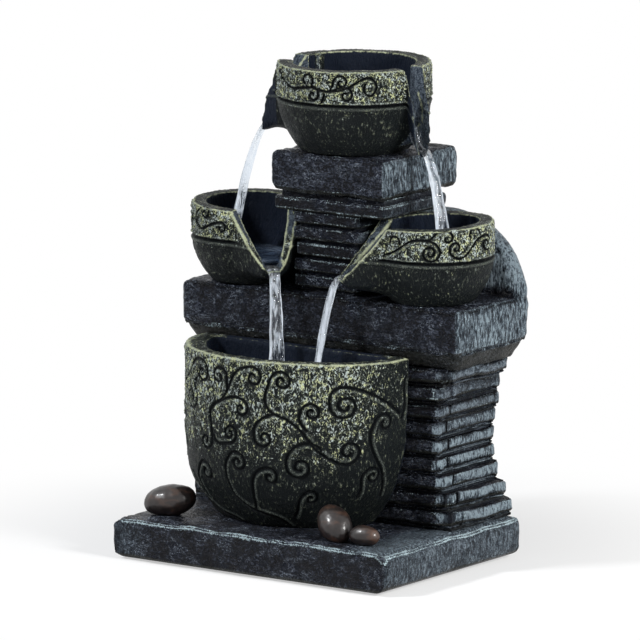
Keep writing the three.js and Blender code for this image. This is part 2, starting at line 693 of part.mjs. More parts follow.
// Three arms across the eye that hold the front end of the shaft.
function voluteSpider() {
  const x0 = pumpFaceX + pump.chamberDepth;
  const hub = solid(atAxis(alongX(turned([[0, 0], [1.9, 0], [1.9, 2.5], [0, 2.5]], 12)), x0));
  const arms = [0, 1, 2].map((k) => {
    const arm = new THREE.BoxGeometry(2.5, 1.2, pump.eye + 0.6).translate(1.25, 0, (pump.eye + 0.6) / 2);
    return solid(atAxis(arm.rotateX((k * 2 * Math.PI) / 3), x0));
  });
  const seat = turned([[0, 0], [rotor.shaft + 0.1, 0], [rotor.shaft + 0.1, 2], [0, 2]], 12);
  return union([hub, ...arms]).subtract(solid(atAxis(alongX(seat), x0 - 0.5)));
}

// The slotted cap that keeps grit out. Its flow slider runs in a track across the face.
function pumpIntakeCover() {
  const x0 = coverX + pump.seam;
  const x1 = x0 + pump.cover;
  const slots = [];
  for (const row of [-1, 0]) {
    for (let k = -3; k <= 3; k++) {
      const y = riserY + k * 3.6;
      const z = axisZ + row * 9 + 2;
      slots.push(box(x1 - pump.coverWall - 1, x1 + 1, y - 0.9, y + 0.9, z - 6.5, z));
    }
  }
  const window = box(
    x1 - pump.coverWall - 1, x1 + 1,
    riserY - slider.width / 2 - slider.travel / 2, riserY + slider.width / 2 + slider.travel / 2,
    sliderZ - slider.height / 2 - slider.slip, sliderZ + slider.height / 2 + slider.slip,
  );
  return pumpBlock(x0, x1)
    .subtract(pumpBlock(x0 - 1, x1 - pump.coverWall, pump.coverWall))
    .subtract(union(slots))
    .subtract(window);
}

const sliderZ = axisZ + 9;

// The slide that opens or closes the intake: a body in the window, held by a flange on each side of the wall,
// with a thumb rib.
function flowSlider() {
  const { width, height, travel, flange, flangeThick, knob } = slider;
  const x1 = coverX + pump.seam + pump.cover;
  const y0 = riserY - (width + travel) / 2 + slider.slip;
  const y1 = y0 + width - 2 * slider.slip;
  const z0 = sliderZ - height / 2;
  const z1 = sliderZ + height / 2;
  const layer = (from, to, grow) => box(from, to, y0, y1, z0 - grow, z1 + grow);
  const wallBack = x1 - pump.coverWall - slider.slip;
  const front = x1 + slider.slip + flangeThick;
  const middle = (y0 + y1) / 2;
  return layer(wallBack - 0.5, x1 + slider.slip + 0.5, 0)
    .add(layer(wallBack - flangeThick, wallBack, flange))
    .add(layer(x1 + slider.slip, front, flange))
    .add(box(front - 0.5, front + knob, middle - 0.9, middle + 0.9, z0, z1));
}

// Magnet, hub and curved blades, turning on the shaft.
function pumpImpeller() {
  const bore = rotor.shaft + 0.15;
  const start = pumpFaceX - pump.rotorDepth + 1.2;
  const end = start + rotor.magnetLength;
  const bladeEnd = pumpFaceX + rotor.bladeHeight;
  const hub = turned(
    [
      [bore, 0], [rotor.magnet, 0], [rotor.magnet, end - start], [rotor.hub, end - start],
      [rotor.hub, bladeEnd - start], [bore, bladeEnd - start], [bore, 0],
    ],
  );
  const blades = Array.from({ length: rotor.blades }, (_, k) => {
    const length = rotor.blade - rotor.hub + 0.8;
    const blade = new THREE.BoxGeometry(rotor.bladeHeight, 1.1, length);
    blade.translate(0, 0, length / 2 + rotor.hub - 0.8).rotateX(0.25);
    blade.translate(0, 0.6, 0).rotateX((k * 2 * Math.PI) / rotor.blades);
    return solid(atAxis(blade, bladeEnd - rotor.bladeHeight / 2));
  });
  return union([solid(atAxis(alongX(hub), start)), ...blades]);
}

function pumpShaft() {
  const start = pumpFaceX - pump.rotorDepth - 2.5;
  const end = pumpFaceX + pump.chamberDepth + 1;
  const profile = [[0, 0], [rotor.shaft, 0], [rotor.shaft, end - start], [0, end - start]];
  return solid(atAxis(alongX(turned(profile, 12)), start));
}

// Soft cups under the corners of the housing that hold the pump on the floor of the well.
function suctionCup(x, y) {
  const profile = [
    [0, 1.2], [pump.cup - 1, 0], [pump.cup, 0], [2, 2.2], [1.6, pump.cupHeight], [0, pump.cupHeight],
  ];
  return solid(alongZ(turned(profile, 16)).translate(x, y, wellFloor));
}
const cupPlaces = [
  ["front_left", pumpFaceX - pump.length + pump.cupInset, pumpY0 + pump.cupInset],
  ["front_right", pumpFaceX - pump.cupInset + 2, pumpY0 + pump.cupInset],
  ["back_left", pumpFaceX - pump.length + pump.cupInset, pumpY1 - pump.cupInset],
  ["back_right", pumpFaceX - pump.cupInset + 2, pumpY1 - pump.cupInset],
];

// ---------------------------------------------------------------- assembly
const fountain = new THREE.Group();
fountain.name = "tabletop_fountain";
fountain.add(
  piece("base_slab", baseSlab(), slate),
  piece("lower_tower", lowerTower(), slate),
  piece("shoulder_rock", shoulderRock(), slate),
  piece("upper_tower", upperTower(), slate),
  piece("cap_block", capBlock(), slate),
  piece("basin", largeBasin(), bowlResin),
  piece("left_bowl", middleBowl(-1), bowlResin),
  piece("right_bowl", middleBowl(1), bowlResin),
  piece("top_bowl", upperBowl(), bowlResin),
  piece("access_cover", accessCover(), slate),
  piece("cord_gland", cordGland(), greyRubber),
  piece("riser_tube", riserTube(), clearTube),
  piece("outlet_nozzle", outletNozzle(), blackPlastic),
  piece("pump_housing", pumpHousing(), blackPlastic),
  piece("pump_volute", pumpVolute(), blackPlastic),
  piece("pump_intake_cover", pumpIntakeCover(), blackPlastic),
  piece("pump_flow_slider", flowSlider(), greyRubber),
  piece("pump_impeller", pumpImpeller(), ferrite),
  piece("pump_shaft", pumpShaft(), ceramic),
);
for (const place of footPlaces) fountain.add(piece(`foot_${place.name}`, footPad(place), greyRubber));
for (const [name, x, y] of cupPlaces) {
  fountain.add(piece(`suction_cup_${name}`, suctionCup(x, y), greyRubber));
}
for (const stone of pebbles) fountain.add(piece(stone.name, pebble(stone), pebbleStone));

// The origin is under the middle of the whole object's box.
fountain.position.y = -backmost / 2;

export default fountain;
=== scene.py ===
"""Dresses the tabletop water fountain: weathered slate castings, carved and gilded bowls, pebbles, running
water and the pump's plastics, on a white sweep under soft studio light. Lengths are in millimetres on the
castings and in the finishes, and in metres in the water, the lamps and the camera."""

import json
import math

import bmesh
import bpy
import numpy as np
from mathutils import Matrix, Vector, kdtree, noise
from mathutils.bvhtree import BVHTree

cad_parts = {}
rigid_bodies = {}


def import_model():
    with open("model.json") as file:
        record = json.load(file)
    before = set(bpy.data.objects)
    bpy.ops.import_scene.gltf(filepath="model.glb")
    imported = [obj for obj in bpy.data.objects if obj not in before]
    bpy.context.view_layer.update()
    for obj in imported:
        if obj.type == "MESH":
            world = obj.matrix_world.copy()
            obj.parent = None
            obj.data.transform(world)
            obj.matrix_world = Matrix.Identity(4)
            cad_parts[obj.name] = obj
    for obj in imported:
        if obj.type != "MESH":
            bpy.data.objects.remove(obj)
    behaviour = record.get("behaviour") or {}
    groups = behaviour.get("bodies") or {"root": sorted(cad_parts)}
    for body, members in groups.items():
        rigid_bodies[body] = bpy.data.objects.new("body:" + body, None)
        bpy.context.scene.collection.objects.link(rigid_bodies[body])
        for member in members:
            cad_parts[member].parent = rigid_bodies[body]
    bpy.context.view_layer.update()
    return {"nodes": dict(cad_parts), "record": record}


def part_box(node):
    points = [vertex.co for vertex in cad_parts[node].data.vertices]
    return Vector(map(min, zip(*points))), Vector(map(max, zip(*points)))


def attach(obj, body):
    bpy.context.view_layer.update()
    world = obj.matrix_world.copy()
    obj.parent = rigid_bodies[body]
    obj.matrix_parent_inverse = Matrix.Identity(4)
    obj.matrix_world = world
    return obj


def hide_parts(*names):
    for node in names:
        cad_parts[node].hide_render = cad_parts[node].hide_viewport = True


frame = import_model()

MM = 0.001
DOWN = Vector((0.0, 0.0, -1.0))
BODY = "fountain"
BODY_OF = {node: body for body, nodes in frame["record"]["behaviour"]["bodies"].items() for node in nodes}


# ------------------------------------------------------------------ finishes
class Value:
    """A socket that carries a number. Sums and products of it add the Math nodes that work them out."""

    def __init__(self, finish, socket):
        self.finish = finish
        self.socket = socket

    def math(self, operation, *others, clamp=False):
        settings = {"operation": operation, "use_clamp": clamp}
        return self.finish.node("ShaderNodeMath", settings, dict(enumerate((self, *others))))

    def __add__(self, other):
        return self.math("ADD", other)

    __radd__ = __add__

    def __mul__(self, other):
        return self.math("MULTIPLY", other)

    __rmul__ = __mul__

    def __sub__(self, other):
        return self.math("SUBTRACT", other)

    def __rsub__(self, other):
        return self.finish.node("ShaderNodeMath", {"operation": "SUBTRACT"}, {0: other, 1: self})

    def clamped(self):
        return self.math("ADD", 0.0, clamp=True)

    def between(self, low, high, before=0.0, after=1.0):
        """0 below low, 1 above high, smooth in between. Before and after may stand in for the 0 and the 1."""
        inputs = {0: self, 1: low, 2: high, 3: before, 4: after}
        return self.finish.node("ShaderNodeMapRange", {"interpolation_type": "SMOOTHSTEP"}, inputs)

    def under(self, low, high):
        """1 below low, 0 above high, smooth in between."""
        return self.between(low, high, 1.0, 0.0)


class Finish:
    """A material, its surface shader, and one method that adds any node to it."""

    def __init__(self, name, **constants):
        self.material = bpy.data.materials.new(name)
        self.material.use_nodes = True
        self.tree = self.material.node_tree
        self.surface = self.tree.nodes["Principled BSDF"]
        self.set(**constants)

    def node(self, kind, settings=None, inputs=None, out=0):
        added = self.tree.nodes.new(kind)
        for key, value in (settings or {}).items():
            if key == "stops":
                self.colour_stops(added, value)
            else:
                setattr(added, key, value)
        for key, value in (inputs or {}).items():
            self.feed(added.inputs[key], value)
        return Value(self, added.outputs[out])

    def colour_stops(self, ramp, stops):
        elements = ramp.color_ramp.elements
        while len(elements) < len(stops):
            elements.new(0.5)
        for element, (place, colour) in zip(elements, stops):
            element.position = place
            element.color = (*colour, 1.0)

    def feed(self, socket, value):
        if isinstance(value, Value):
            self.tree.links.new(value.socket, socket)
        elif isinstance(value, tuple) and len(value) == 3 and socket.type == "RGBA":
            socket.default_value = (*value, 1.0)
        else:
            socket.default_value = value

    def set(self, **values):
        """Feeds the surface shader: Base_Color for its socket Base Color, and so on."""
        for name, value in values.items():
            self.feed(self.surface.inputs[name.replace("_", " ")], value)

    def place(self, stretch=(1.0, 1.0, 1.0)):
        """The point on the piece in millimetres, stretched along the axes."""
        at = self.node("ShaderNodeTexCoord", out="Object")
        scale = tuple(s / MM for s in stretch)
        return self.node("ShaderNodeMapping", {}, {"Vector": at, "Scale": scale})

    def grain(self, size, detail=3.0, stretch=(1.0, 1.0, 1.0), roughness=0.55, twist=0.0):
        """Cloudy noise with features of that size in millimetres."""
        inputs = {
            "Vector": self.place(stretch), "Scale": 1.0 / size, "Detail": detail,
            "Roughness": roughness, "Distortion": twist,
        }
        return self.node("ShaderNodeTexNoise", {}, inputs)

    def veins(self, size, stretch=(1.0, 1.0, 1.0), twist=0.6):
        """A web of thin lines, 1 on a line and 0 between them."""
        near = self.grain(size, 3.0, stretch, 0.6, twist)
        return 1.0 - ((near - 0.5).math("ABSOLUTE") * 9.0).clamped()

    def marks(self, *names):
        """What the modelling wrote on the piece's points under those names."""
        return [self.node("ShaderNodeAttribute", {"attribute_name": name}, out="Fac") for name in names]

    def mix(self, amount, first, second):
        return self.node("ShaderNodeMix", {"data_type": "RGBA"}, {0: amount, 6: first, 7: second}, out=2)

    def layers(self, colour, *layers):
        """The colour with each layer over it, by its amount."""
        for amount, over in layers:
            colour = self.mix(amount, colour, over)
        return colour

    def ramp(self, value, stops):
        return self.node("ShaderNodeValToRGB", {"stops": stops}, {0: value}, out="Color")

    def bump(self, height, depth):
        """Relief that is so deep in millimetres."""
        return self.node("ShaderNodeBump", {}, {"Height": height, "Strength": 1.0, "Distance": depth * MM})

    def blend(self, amount, shader):
        """Shows another shader in place of the surface's own, by that amount."""
        show(self.tree, "Material Output", amount.socket, self.surface.outputs[0], shader.socket)


def show(tree, output, *sockets):
    """Shows a mix at that output: the amount of the second shader, then the first and the second."""
    mixed = tree.nodes.new("ShaderNodeMixShader")
    for socket, source in zip(mixed.inputs, sockets):
        tree.links.new(source, socket)
    tree.links.new(mixed.outputs[0], tree.nodes[output].inputs["Surface"])


def slate_finish():
    """Near-black casting with a wet sheen: scratched in front, hammered and dry-brushed blue-grey on its
    sides, and paler still along its edges. Painted shade darkens its hollows, its gaps and its undersides."""
    f = Finish("slate casting", Specular_IOR_Level=0.13)
    edge, crest, side, top, sky = f.marks("edge", "crest", "side", "top", "sky")
    grit = f.grain(0.8, 3.0, roughness=0.65)
    lumps = f.grain(1.9, 3.0, stretch=(0.8, 0.8, 1.1), roughness=0.6, twist=1.2)
    strokes = f.grain(1.3, 3.0, stretch=(1.0, 1.0, 0.27), roughness=0.62, twist=0.3)
    scratches = f.veins(5.5, stretch=(0.6, 0.6, 1.6), twist=0.9)
    patches = f.grain(15.0, 3.0)
    height = (1.0 - side) * lumps + side * strokes
    # the open-sky mark thins the dry-brush in hollows, which is painted shade
    raised = height + (grit - 0.5) * 0.35 + crest * 0.05 + (patches - 0.5) * 0.2 + sky * 0.24 - 0.22
    front = f.mix(patches.between(0.42, 0.66), (0.005, 0.005, 0.007), (0.008, 0.011, 0.020))
    dark = f.mix(side, front, (0.008, 0.012, 0.018))
    middle = f.mix(side, (0.009, 0.011, 0.017), (0.075, 0.098, 0.120))
    bright = f.mix(side, (0.048, 0.056, 0.078), (0.230, 0.290, 0.330))
    nicks = scratches.between(0.72, 0.96) * patches.between(0.48, 0.58) * grit.between(0.42, 0.55)
    ragged = edge + (grit - 0.5) * 4.6 + (patches - 0.5) * 3.0
    f.set(
        Base_Color=f.layers(
            dark,
            (raised.between(0.44, 0.54), middle),
            (raised.between(0.56, 0.63), bright),
            (nicks * (1.0 - side) * 0.8, (0.24, 0.28, 0.34)),
            # painted shade: near black where the open-sky mark says few rays get out, in hollows and the
            # filled-in gaps; it also stands for the black wash left in recesses
            (sky.under(0.15, 0.5) * 0.85, (0.003, 0.004, 0.008)),
            # painted shade: faces that look down are darkened, as under an overhang
            (top.under(-0.8, -0.1) * 0.75, (0.014, 0.015, 0.011)),
            (ragged.under(-0.1, 0.35) * 0.9, (0.50, 0.63, 0.68)),
        ),
        Roughness=0.34 + side * 0.16 - patches.between(0.3, 0.75) * 0.1 - top.clamped() * 0.08,
        Normal=f.bump(height + grit * 0.12, 3.8),
    )
    return f.material


def gilded_finish(name, size, shine):
    """The bowls' casting: black in the carving and the pits, olive over that, pale gold and grey on what
    stands out, blue-black inside and blue-grey in the notches. The size is that of its specks in
    millimetres."""
    f = Finish(name, Specular_IOR_Level=0.075)
    edge, crest, scroll, rib, gild, sky = f.marks("edge", "crest", "scroll", "rib", "gild", "sky")
    worms = f.grain(size, 3.0, stretch=(1.0, 1.0, 0.62), roughness=0.62, twist=1.8)
    streaks = f.grain(1.2, 3.0, stretch=(1.0, 1.0, 0.28), roughness=0.65, twist=0.4)
    grit = f.grain(0.75, 3.0, roughness=0.7)
    patches = f.grain(8.0, 3.0)
    tint = f.grain(3.0, 2.0)
    plain = gild.under(0.12, 0.45)
    height = (1.0 - plain) * worms + plain * streaks + (grit - 0.5) * 0.4
    ungilded = 1.0 - gild.math("MINIMUM", 1.0)
    # the open-sky mark thins the gilt and dry-brush in hollows, which is painted shade
    raised = height + crest * 0.06 + (patches - 0.5) * 0.2 - ungilded * 0.14 + sky * 0.22 - 0.22
    dark = f.mix(gild.under(-0.5, 0.0), (0.006, 0.008, 0.009), (0.008, 0.012, 0.022))
    gold = (shine * 0.50, shine * 0.53, shine * 0.29)
    silver = (shine * 0.42, shine * 0.48, shine * 0.47)
    bright = f.mix(plain * 0.8, f.mix(tint.between(0.42, 0.57), gold, silver), (0.140, 0.153, 0.105))
    steel = f.mix(height.between(0.42, 0.62), (0.022, 0.030, 0.045), (0.120, 0.150, 0.185))
    ragged = edge + (grit - 0.5) * 1.4 + (tint - 0.5) * 1.2
    f.set(
        Base_Color=f.layers(
            dark,
            (raised.between(0.44, 0.52), (0.052, 0.060, 0.048)),
            (raised.between(0.53, 0.60), bright),
            (gild.between(1.2, 1.7), steel),
            # pale dry-brush on the raised ribs, which is also a painted highlight along the inner side of
            # each scroll
            (rib * grit.between(0.4, 0.6) * 0.45, (0.22, 0.25, 0.22)),
            (scroll.under(0.5, 0.95) * 0.95, (0.003, 0.004, 0.005)),
            (ragged.under(0.25, 1.0) * 0.9, (0.56, 0.60, 0.40)),
        ),
        Roughness=0.46 - patches.between(0.3, 0.8) * 0.15,
        Normal=f.bump(height * 1.3 + scroll.between(0.3, 1.1) * 0.5, 1.5),
    )
    return f.material


def pebble_finish():
    f = Finish("river pebble", Specular_IOR_Level=0.4, Coat_Weight=0.3, Coat_Roughness=0.16)
    clouds = f.grain(11.0, 4.0, stretch=(1.0, 1.0, 1.8), twist=0.6)
    dust = f.grain(0.7, 3.0)
    stops = [(0.3, (0.005, 0.004, 0.004)), (0.52, (0.014, 0.009, 0.008)), (0.78, (0.075, 0.038, 0.024))]
    f.set(
        Base_Color=f.mix(dust.between(0.55, 0.8) * 0.12, f.ramp(clouds, stops), (0.13, 0.10, 0.09)),
        Roughness=0.3 + dust * 0.16,
        Normal=f.bump(clouds + dust * 0.12, 0.2),
    )
    return f.material


def moulded_finish(name, colour, worn, roughness, grain=0.35):
    """Moulded plastic or rubber: a fine spark texture, and scuffs a little lighter than the rest."""
    f = Finish(name)
    spark = f.grain(grain, 2.0)
    scuff = f.grain(9.0, 5.0, twist=1.2).between(0.56, 0.78)
    f.set(
        Base_Color=f.mix(scuff * 0.5, colour, worn),
        Roughness=roughness + spark * 0.18 - 0.09 + scuff * 0.12,
        Normal=f.bump(spark, 0.06),
    )
    return f.material


def tube_finish():
    f = Finish("clear tube", Roughness=0.12, IOR=1.49)
    lime = f.grain(14.0, 4.0).between(0.45, 0.8)
    f.set(
        Base_Color=f.mix(lime, (0.62, 0.7, 0.72), (0.8, 0.82, 0.78)),
        Alpha=0.38 + lime * 0.3,
        Normal=f.bump(f.grain(2.0, 2.0), 0.03),
    )
    return f.material


def ferrite_finish():
    f = Finish("rotor ferrite")
    ground = f.grain(0.5, 3.0, stretch=(0.25, 1.0, 1.0))
    f.set(
        Base_Color=f.mix(ground, (0.035, 0.036, 0.04), (0.1, 0.1, 0.105)),
        Metallic=0.35,
        Roughness=0.42 + ground * 0.2,
        Normal=f.bump(ground, 0.05),
    )
    return f.material


def ceramic_finish():
    f = Finish("ground ceramic")
    ground = f.grain(0.3, 2.0)
    f.set(
        Base_Color=f.mix(ground, (0.74, 0.71, 0.64), (0.86, 0.84, 0.78)),
        Roughness=0.22 + ground * 0.1,
    )
    return f.material


def pool_finish():
    """Standing water with a rippled skin, a little cloudy."""
    f = Finish("standing water", Roughness=0.03, IOR=1.33, Transmission_Weight=0.8)
    f.set(Base_Color=(0.5, 0.62, 0.8), Normal=f.bump(f.grain(5.0, 2.0), 0.35))
    return f.material


def stream_finish():
    """Falling water: clear, with white streaks along it and at its borders that glow as painted highlights.
    """
    f = Finish("falling water", Roughness=0.03, IOR=1.33, Transmission_Weight=1.0)
    falling, border = f.marks("falling", "border")
    strands = f.grain(1.9, 3.0, stretch=(1.0, 1.0, 0.1), roughness=0.6)
    f.set(Base_Color=(0.9, 0.95, 1.0), Normal=f.bump(strands + f.grain(3.0, 2.0) * 0.5, 1.6))
    # painted highlights: white streaks along the fall and at its borders glow by emission
    streaks = strands.between(0.5, 0.64) * falling
    white = (streaks * 0.75 + border.between(0.8, 0.98) * 0.6).clamped()
    f.blend(white * 0.8, f.node("ShaderNodeEmission", {}, {"Color": (0.80, 0.87, 0.96), "Strength": 0.9}))
    return f.material


SLATE = slate_finish()
GILDED = gilded_finish("gilded casting", 1.45, 1.3)
CARVED = gilded_finish("carved casting", 2.1, 1.15)
PEBBLE = pebble_finish()
PLASTIC = moulded_finish("pump plastic", (0.018, 0.019, 0.021), (0.05, 0.052, 0.055), 0.45)
SLIDER = moulded_finish("slider plastic", (0.13, 0.14, 0.15), (0.2, 0.21, 0.22), 0.4)
RUBBER = moulded_finish("soft rubber", (0.024, 0.024, 0.026), (0.06, 0.06, 0.062), 0.72, grain=0.6)
STREAM = stream_finish()
POOL = pool_finish()


# ------------------------------------------------------------------ castings as dense skins
def read(collection, name, width, kind=float):
    flat = np.empty(len(collection) * width, kind)
    collection.foreach_get(name, flat)
    return flat.reshape(-1, width)


def field(points, size, octaves=3, seed=0):
    """Fractal noise of about -1 to 1 at points in millimetres, with features of that size or sizes."""
    scaled = points / np.asarray(size, float) + 17.3 * seed
    return np.array([noise.fractal(p, 1.0, 2.0, octaves) for p in scaled.tolist()])


def bumps(points, size, seed=0):
    """Rounded grains with sharp valleys, 0 in a valley to about 1 on a grain."""
    scaled = points / np.asarray(size, float) + 11.7 * seed
    nearest = np.array([noise.voronoi(p)[0][:2] for p in scaled.tolist()])
    return np.clip(nearest[:, 1] - nearest[:, 0], 0.0, 0.6) / 0.6


def step(low, high, values):
    """0 at low and 1 at high, smooth in between, whichever of the two is larger."""
    share = np.clip((values - low) / (high - low), 0.0, 1.0)
    return share * share * (3.0 - 2.0 * share)


def hump(values, middle, width):
    """A bell of height 1 round the middle."""
    return np.exp(-(((values - middle) / width) ** 2))


def unit(vectors):
    """The directions of the vectors, and nothing for one that has none."""
    return vectors / np.maximum(np.linalg.norm(vectors, axis=1), 1e-6)[:, None]


def bounds_mm(node):
    return [np.array(corner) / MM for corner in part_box(node)]


def new_object(name, data):
    obj = bpy.data.objects.new(name, data)
    bpy.context.collection.objects.link(obj)
    return obj


def made(work, name):
    """The object that a finished bmesh becomes."""
    mesh = bpy.data.meshes.new(name)
    work.to_mesh(mesh)
    work.free()
    return new_object(name, mesh)


def apply_modifiers(obj):
    graph = bpy.context.evaluated_depsgraph_get()
    mesh = bpy.data.meshes.new_from_object(obj.evaluated_get(graph))
    obj.modifiers.clear()
    obj.data = mesh


def copy_of(mesh):
    work = bmesh.new()
    work.from_mesh(mesh)
    return work


def cad_copy(node):
    work = copy_of(frame["nodes"][node].data)
    bmesh.ops.remove_doubles(work, verts=work.verts, dist=0.002 * MM)
    return work


def surface_of(work):
    """The surface of a bmesh, for rays to meet. The bmesh is used up."""
    surface = BVHTree.FromBMesh(work)
    work.free()
    return surface


SHARP = math.radians(35.0)
FAR_AWAY = 9999.0
EDGE_REACH = 8.0


def tree_of(points):
    tree = kdtree.KDTree(len(points))
    for index, point in enumerate(points):
        tree.insert(point, index)
    tree.balance()
    return tree


def worn_edges(node, kept=None):
    """Points along the sharp edges of a CAD piece that stand out and don't face down, in millimetres, and one
    far away for a piece that has none. Where kept is given, it says which of them count."""
    work = cad_copy(node)
    points = [Vector((0.0, 0.0, FAR_AWAY))]
    for edge in work.edges:
        if not (edge.is_manifold and edge.is_convex and edge.calc_face_angle() > SHARP):
            continue
        if sum(face.normal.z for face in edge.link_faces) < -0.9:
            continue
        first, second = (vert.co / MM for vert in edge.verts)
        steps = max(1, round((second - first).length / 0.6))
        points += [first.lerp(second, k / steps) for k in range(steps + 1)]
    work.free()
    if kept:
        points = points[:1] + [point for point in points[1:] if kept(point)]
    return tree_of(points)


def on_rim(node, centre):
    """A test for points in millimetres: are they on top of a bowl's wall, on its rim or along its lips?"""
    surface = surface_of(cad_copy(node))

    def kept(point):
        away = Vector((point.x - centre[0], point.y - centre[1], 0.0)).normalized()
        for shift in (-0.8, 0.8):
            hit = surface.ray_cast((point + away * shift + Vector((0.0, 0.0, 40.0))) * MM, DOWN)[0]
            if hit and abs(hit.z / MM - point.z) < 1.6:
                return True
        return False

    return kept


class Skin:
    """A dense mesh in place of a CAD piece: its points in millimetres, which way they face, now and as cast,
    their neighbours, and how far they lie from the piece's sharp edges."""

    def __init__(self, obj, node, kept=None):
        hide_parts(node)
        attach(obj, BODY_OF[node])
        self.obj = obj
        self.at = read(obj.data.vertices, "co", 3) / MM
        self.pairs = read(obj.data.edges, "vertices", 2, int)
        self.out = read(obj.data.vertex_normals, "vector", 3)
        self.plain = self.out.copy()
        count = np.bincount(self.pairs.ravel(), minlength=len(self.at))
        self.neighbours = np.maximum(count, 1)
        tree = worn_edges(node, kept)
        self.edge = np.minimum([tree.find(p)[2] for p in self.at.tolist()], EDGE_REACH)

    def gather(self, along_first, along_second):
        """The mean over each point's edges of what the edges bring to their first and second ends."""
        first, second = self.pairs.T
        total = np.bincount(first, along_first, len(self.at))
        total += np.bincount(second, along_second, len(self.at))
        return total / self.neighbours

    def spread(self, values, rounds=1):
        first, second = self.pairs.T
        for _ in range(rounds):
            values = 0.5 * values + 0.5 * self.gather(values[second], values[first])
        return values

    def push(self, amount):
        """Moves each point outwards by its amount."""
        self.move(self.out * amount[:, None])

    def move(self, offset):
        self.at += offset
        self.obj.data.vertices.foreach_set("co", (self.at * MM).ravel())
        self.obj.data.update()
        self.out = read(self.obj.data.vertex_normals, "vector", 3)

    def soften(self, weight, rounds):
        """Evens out the points by their neighbours, where weight is 1."""
        even = np.stack([self.spread(self.at[:, k], rounds) for k in range(3)], 1)
        self.move((even - self.at) * weight[:, None])

    def round_corners(self, low, high, axes, radius, chosen=True):
        """Rounds the corners in the plane of the two axes, as on a box with those bounds."""
        middle, half = (low + high) / 2, (high - low) / 2
        place = (self.at - middle)[:, axes]
        past = np.maximum(np.abs(place) - (half[axes] - radius), 0.0)
        length = np.linalg.norm(past, axis=1)
        squeeze = np.where(length > radius, radius / np.maximum(length, 1e-6), 1.0)
        offset = np.zeros_like(self.at)
        offset[:, axes] = np.sign(place) * past * (chosen * (squeeze - 1.0))[:, None]
        self.move(offset)

    def round_box(self, node, radius):
        """Rounds a block's corners as seen from its front, and a little as seen from above."""
        self.round_corners(*bounds_mm(node), [0, 1], 0.3 * radius)
        self.round_corners(*bounds_mm(node), [0, 2], radius)

    def round_off(self, depth, reach, seed):
        """Wears the sharp edges down by that depth, unevenly, out to that reach from them."""
        wear = 0.75 + 0.6 * field(self.at, 7.0, 2, seed)
        self.push(-depth * wear * (1.0 - step(0.0, reach, self.edge)))

    def crest(self):
        """How far each point stands out of its surroundings: about 1 on an edge, below 0 in a hollow."""
        first, second = self.pairs.T
        gap = unit(self.at[first] - self.at[second])
        bend = self.gather((self.out[first] * gap).sum(1), -(self.out[second] * gap).sum(1))
        return np.clip(bend * 1.5 + self.spread(bend, 3) * 3.0, -1.0, 1.5)

    def open_sky(self, reach):
        """The share of four slanting rays out of each point that go free for that many millimetres."""
        surface = surface_of(copy_of(self.obj.data))
        aside = np.where(np.abs(self.out[:, 2:]) > 0.7, (1.0, 0.0, 0.0), (0.0, 0.0, 1.0))
        across = unit(np.cross(self.out, aside))
        along = np.cross(self.out, across)
        start = (self.at + self.out * 0.12) * MM
        free = np.zeros(len(self.at))
        for turn in np.radians((45.0, 135.0, 225.0, 315.0)):
            ray = 0.5 * self.out + 0.87 * (math.cos(turn) * across + math.sin(turn) * along)
            rays = zip(start.tolist(), ray.tolist())
            free += np.array([surface.ray_cast(a, b, reach * MM)[0] is None for a, b in rays], float)
        return self.spread(free / 4.0, 2)

    def finish(self, material, **marks):
        """Gives the points their marks, for the material to read."""
        for name, numbers in marks.items():
            attribute = self.obj.data.attributes.new(name, "FLOAT", "POINT")
            attribute.data.foreach_set("value", np.asarray(numbers, np.float32))
        self.obj.data.materials.clear()
        self.obj.data.materials.append(material)
        self.obj.data.shade_smooth()


def cut_evenly(work, low, high, gaps):
    """Cuts every face into cells of about those millimetres along x, y and z, and those into triangles."""
    for axis, gap in enumerate(gaps):
        across = Vector((0.0, 0.0, 0.0))
        across[axis] = 1.0
        cells = round((high[axis] - low[axis]) / (gap * MM))
        for k in range(cells):
            geometry = work.verts[:] + work.edges[:] + work.faces[:]
            place = low.lerp(high, (k + 0.5) / cells)
            bmesh.ops.bisect_plane(work, geom=geometry, plane_co=place, plane_no=across, dist=1e-6)
    bmesh.ops.triangulate(work, faces=work.faces)


def sawn(node, gaps, kept=None):
    """A CAD piece cut into cells of about those millimetres along x, y and z, with its edges kept crisp."""
    work = cad_copy(node)
    bmesh.ops.dissolve_limit(work, angle_limit=math.radians(1.0), verts=work.verts, edges=work.edges)
    cut_evenly(work, *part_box(node), gaps)
    return Skin(made(work, node + "_stone"), node, kept)


def cast(node, voxel, soften, finer=None, kept=None):
    """A CAD piece under an even rounded skin. Where finer says so, its cells are halved."""
    obj = made(cad_copy(node), node + "_stone")
    remesh = obj.modifiers.new("skin", "REMESH")
    remesh.mode = "VOXEL"
    remesh.voxel_size = voxel * MM
    smooth = obj.modifiers.new("soften", "SMOOTH")
    smooth.factor = 0.5
    smooth.iterations = soften
    apply_modifiers(obj)
    if finer:
        chosen = finer(read(obj.data.vertices, "co", 3) / MM, read(obj.data.vertex_normals, "vector", 3))
        work = copy_of(obj.data)
        faces = [face for face in work.faces if all(chosen[vert.index] for vert in face.verts)]
        edges = list({edge for face in faces for edge in face.edges})
        bmesh.ops.subdivide_edges(work, edges=edges, cuts=1, use_grid_fill=True)
        work.to_mesh(obj.data)
        work.free()
    return Skin(obj, node, kept)


# ------------------------------------------------------------------ slate
# The depth and reach of the wear on a slab's edges, and the tower's courses: each is so high with the gap
# under it, the gap is so high, and its shim's middle is so far up.
SLAB_WEAR = (1.0, 3.5)
COURSE = 10.5
JOINT = 3.6
SHIM_MIDDLE = 1.8


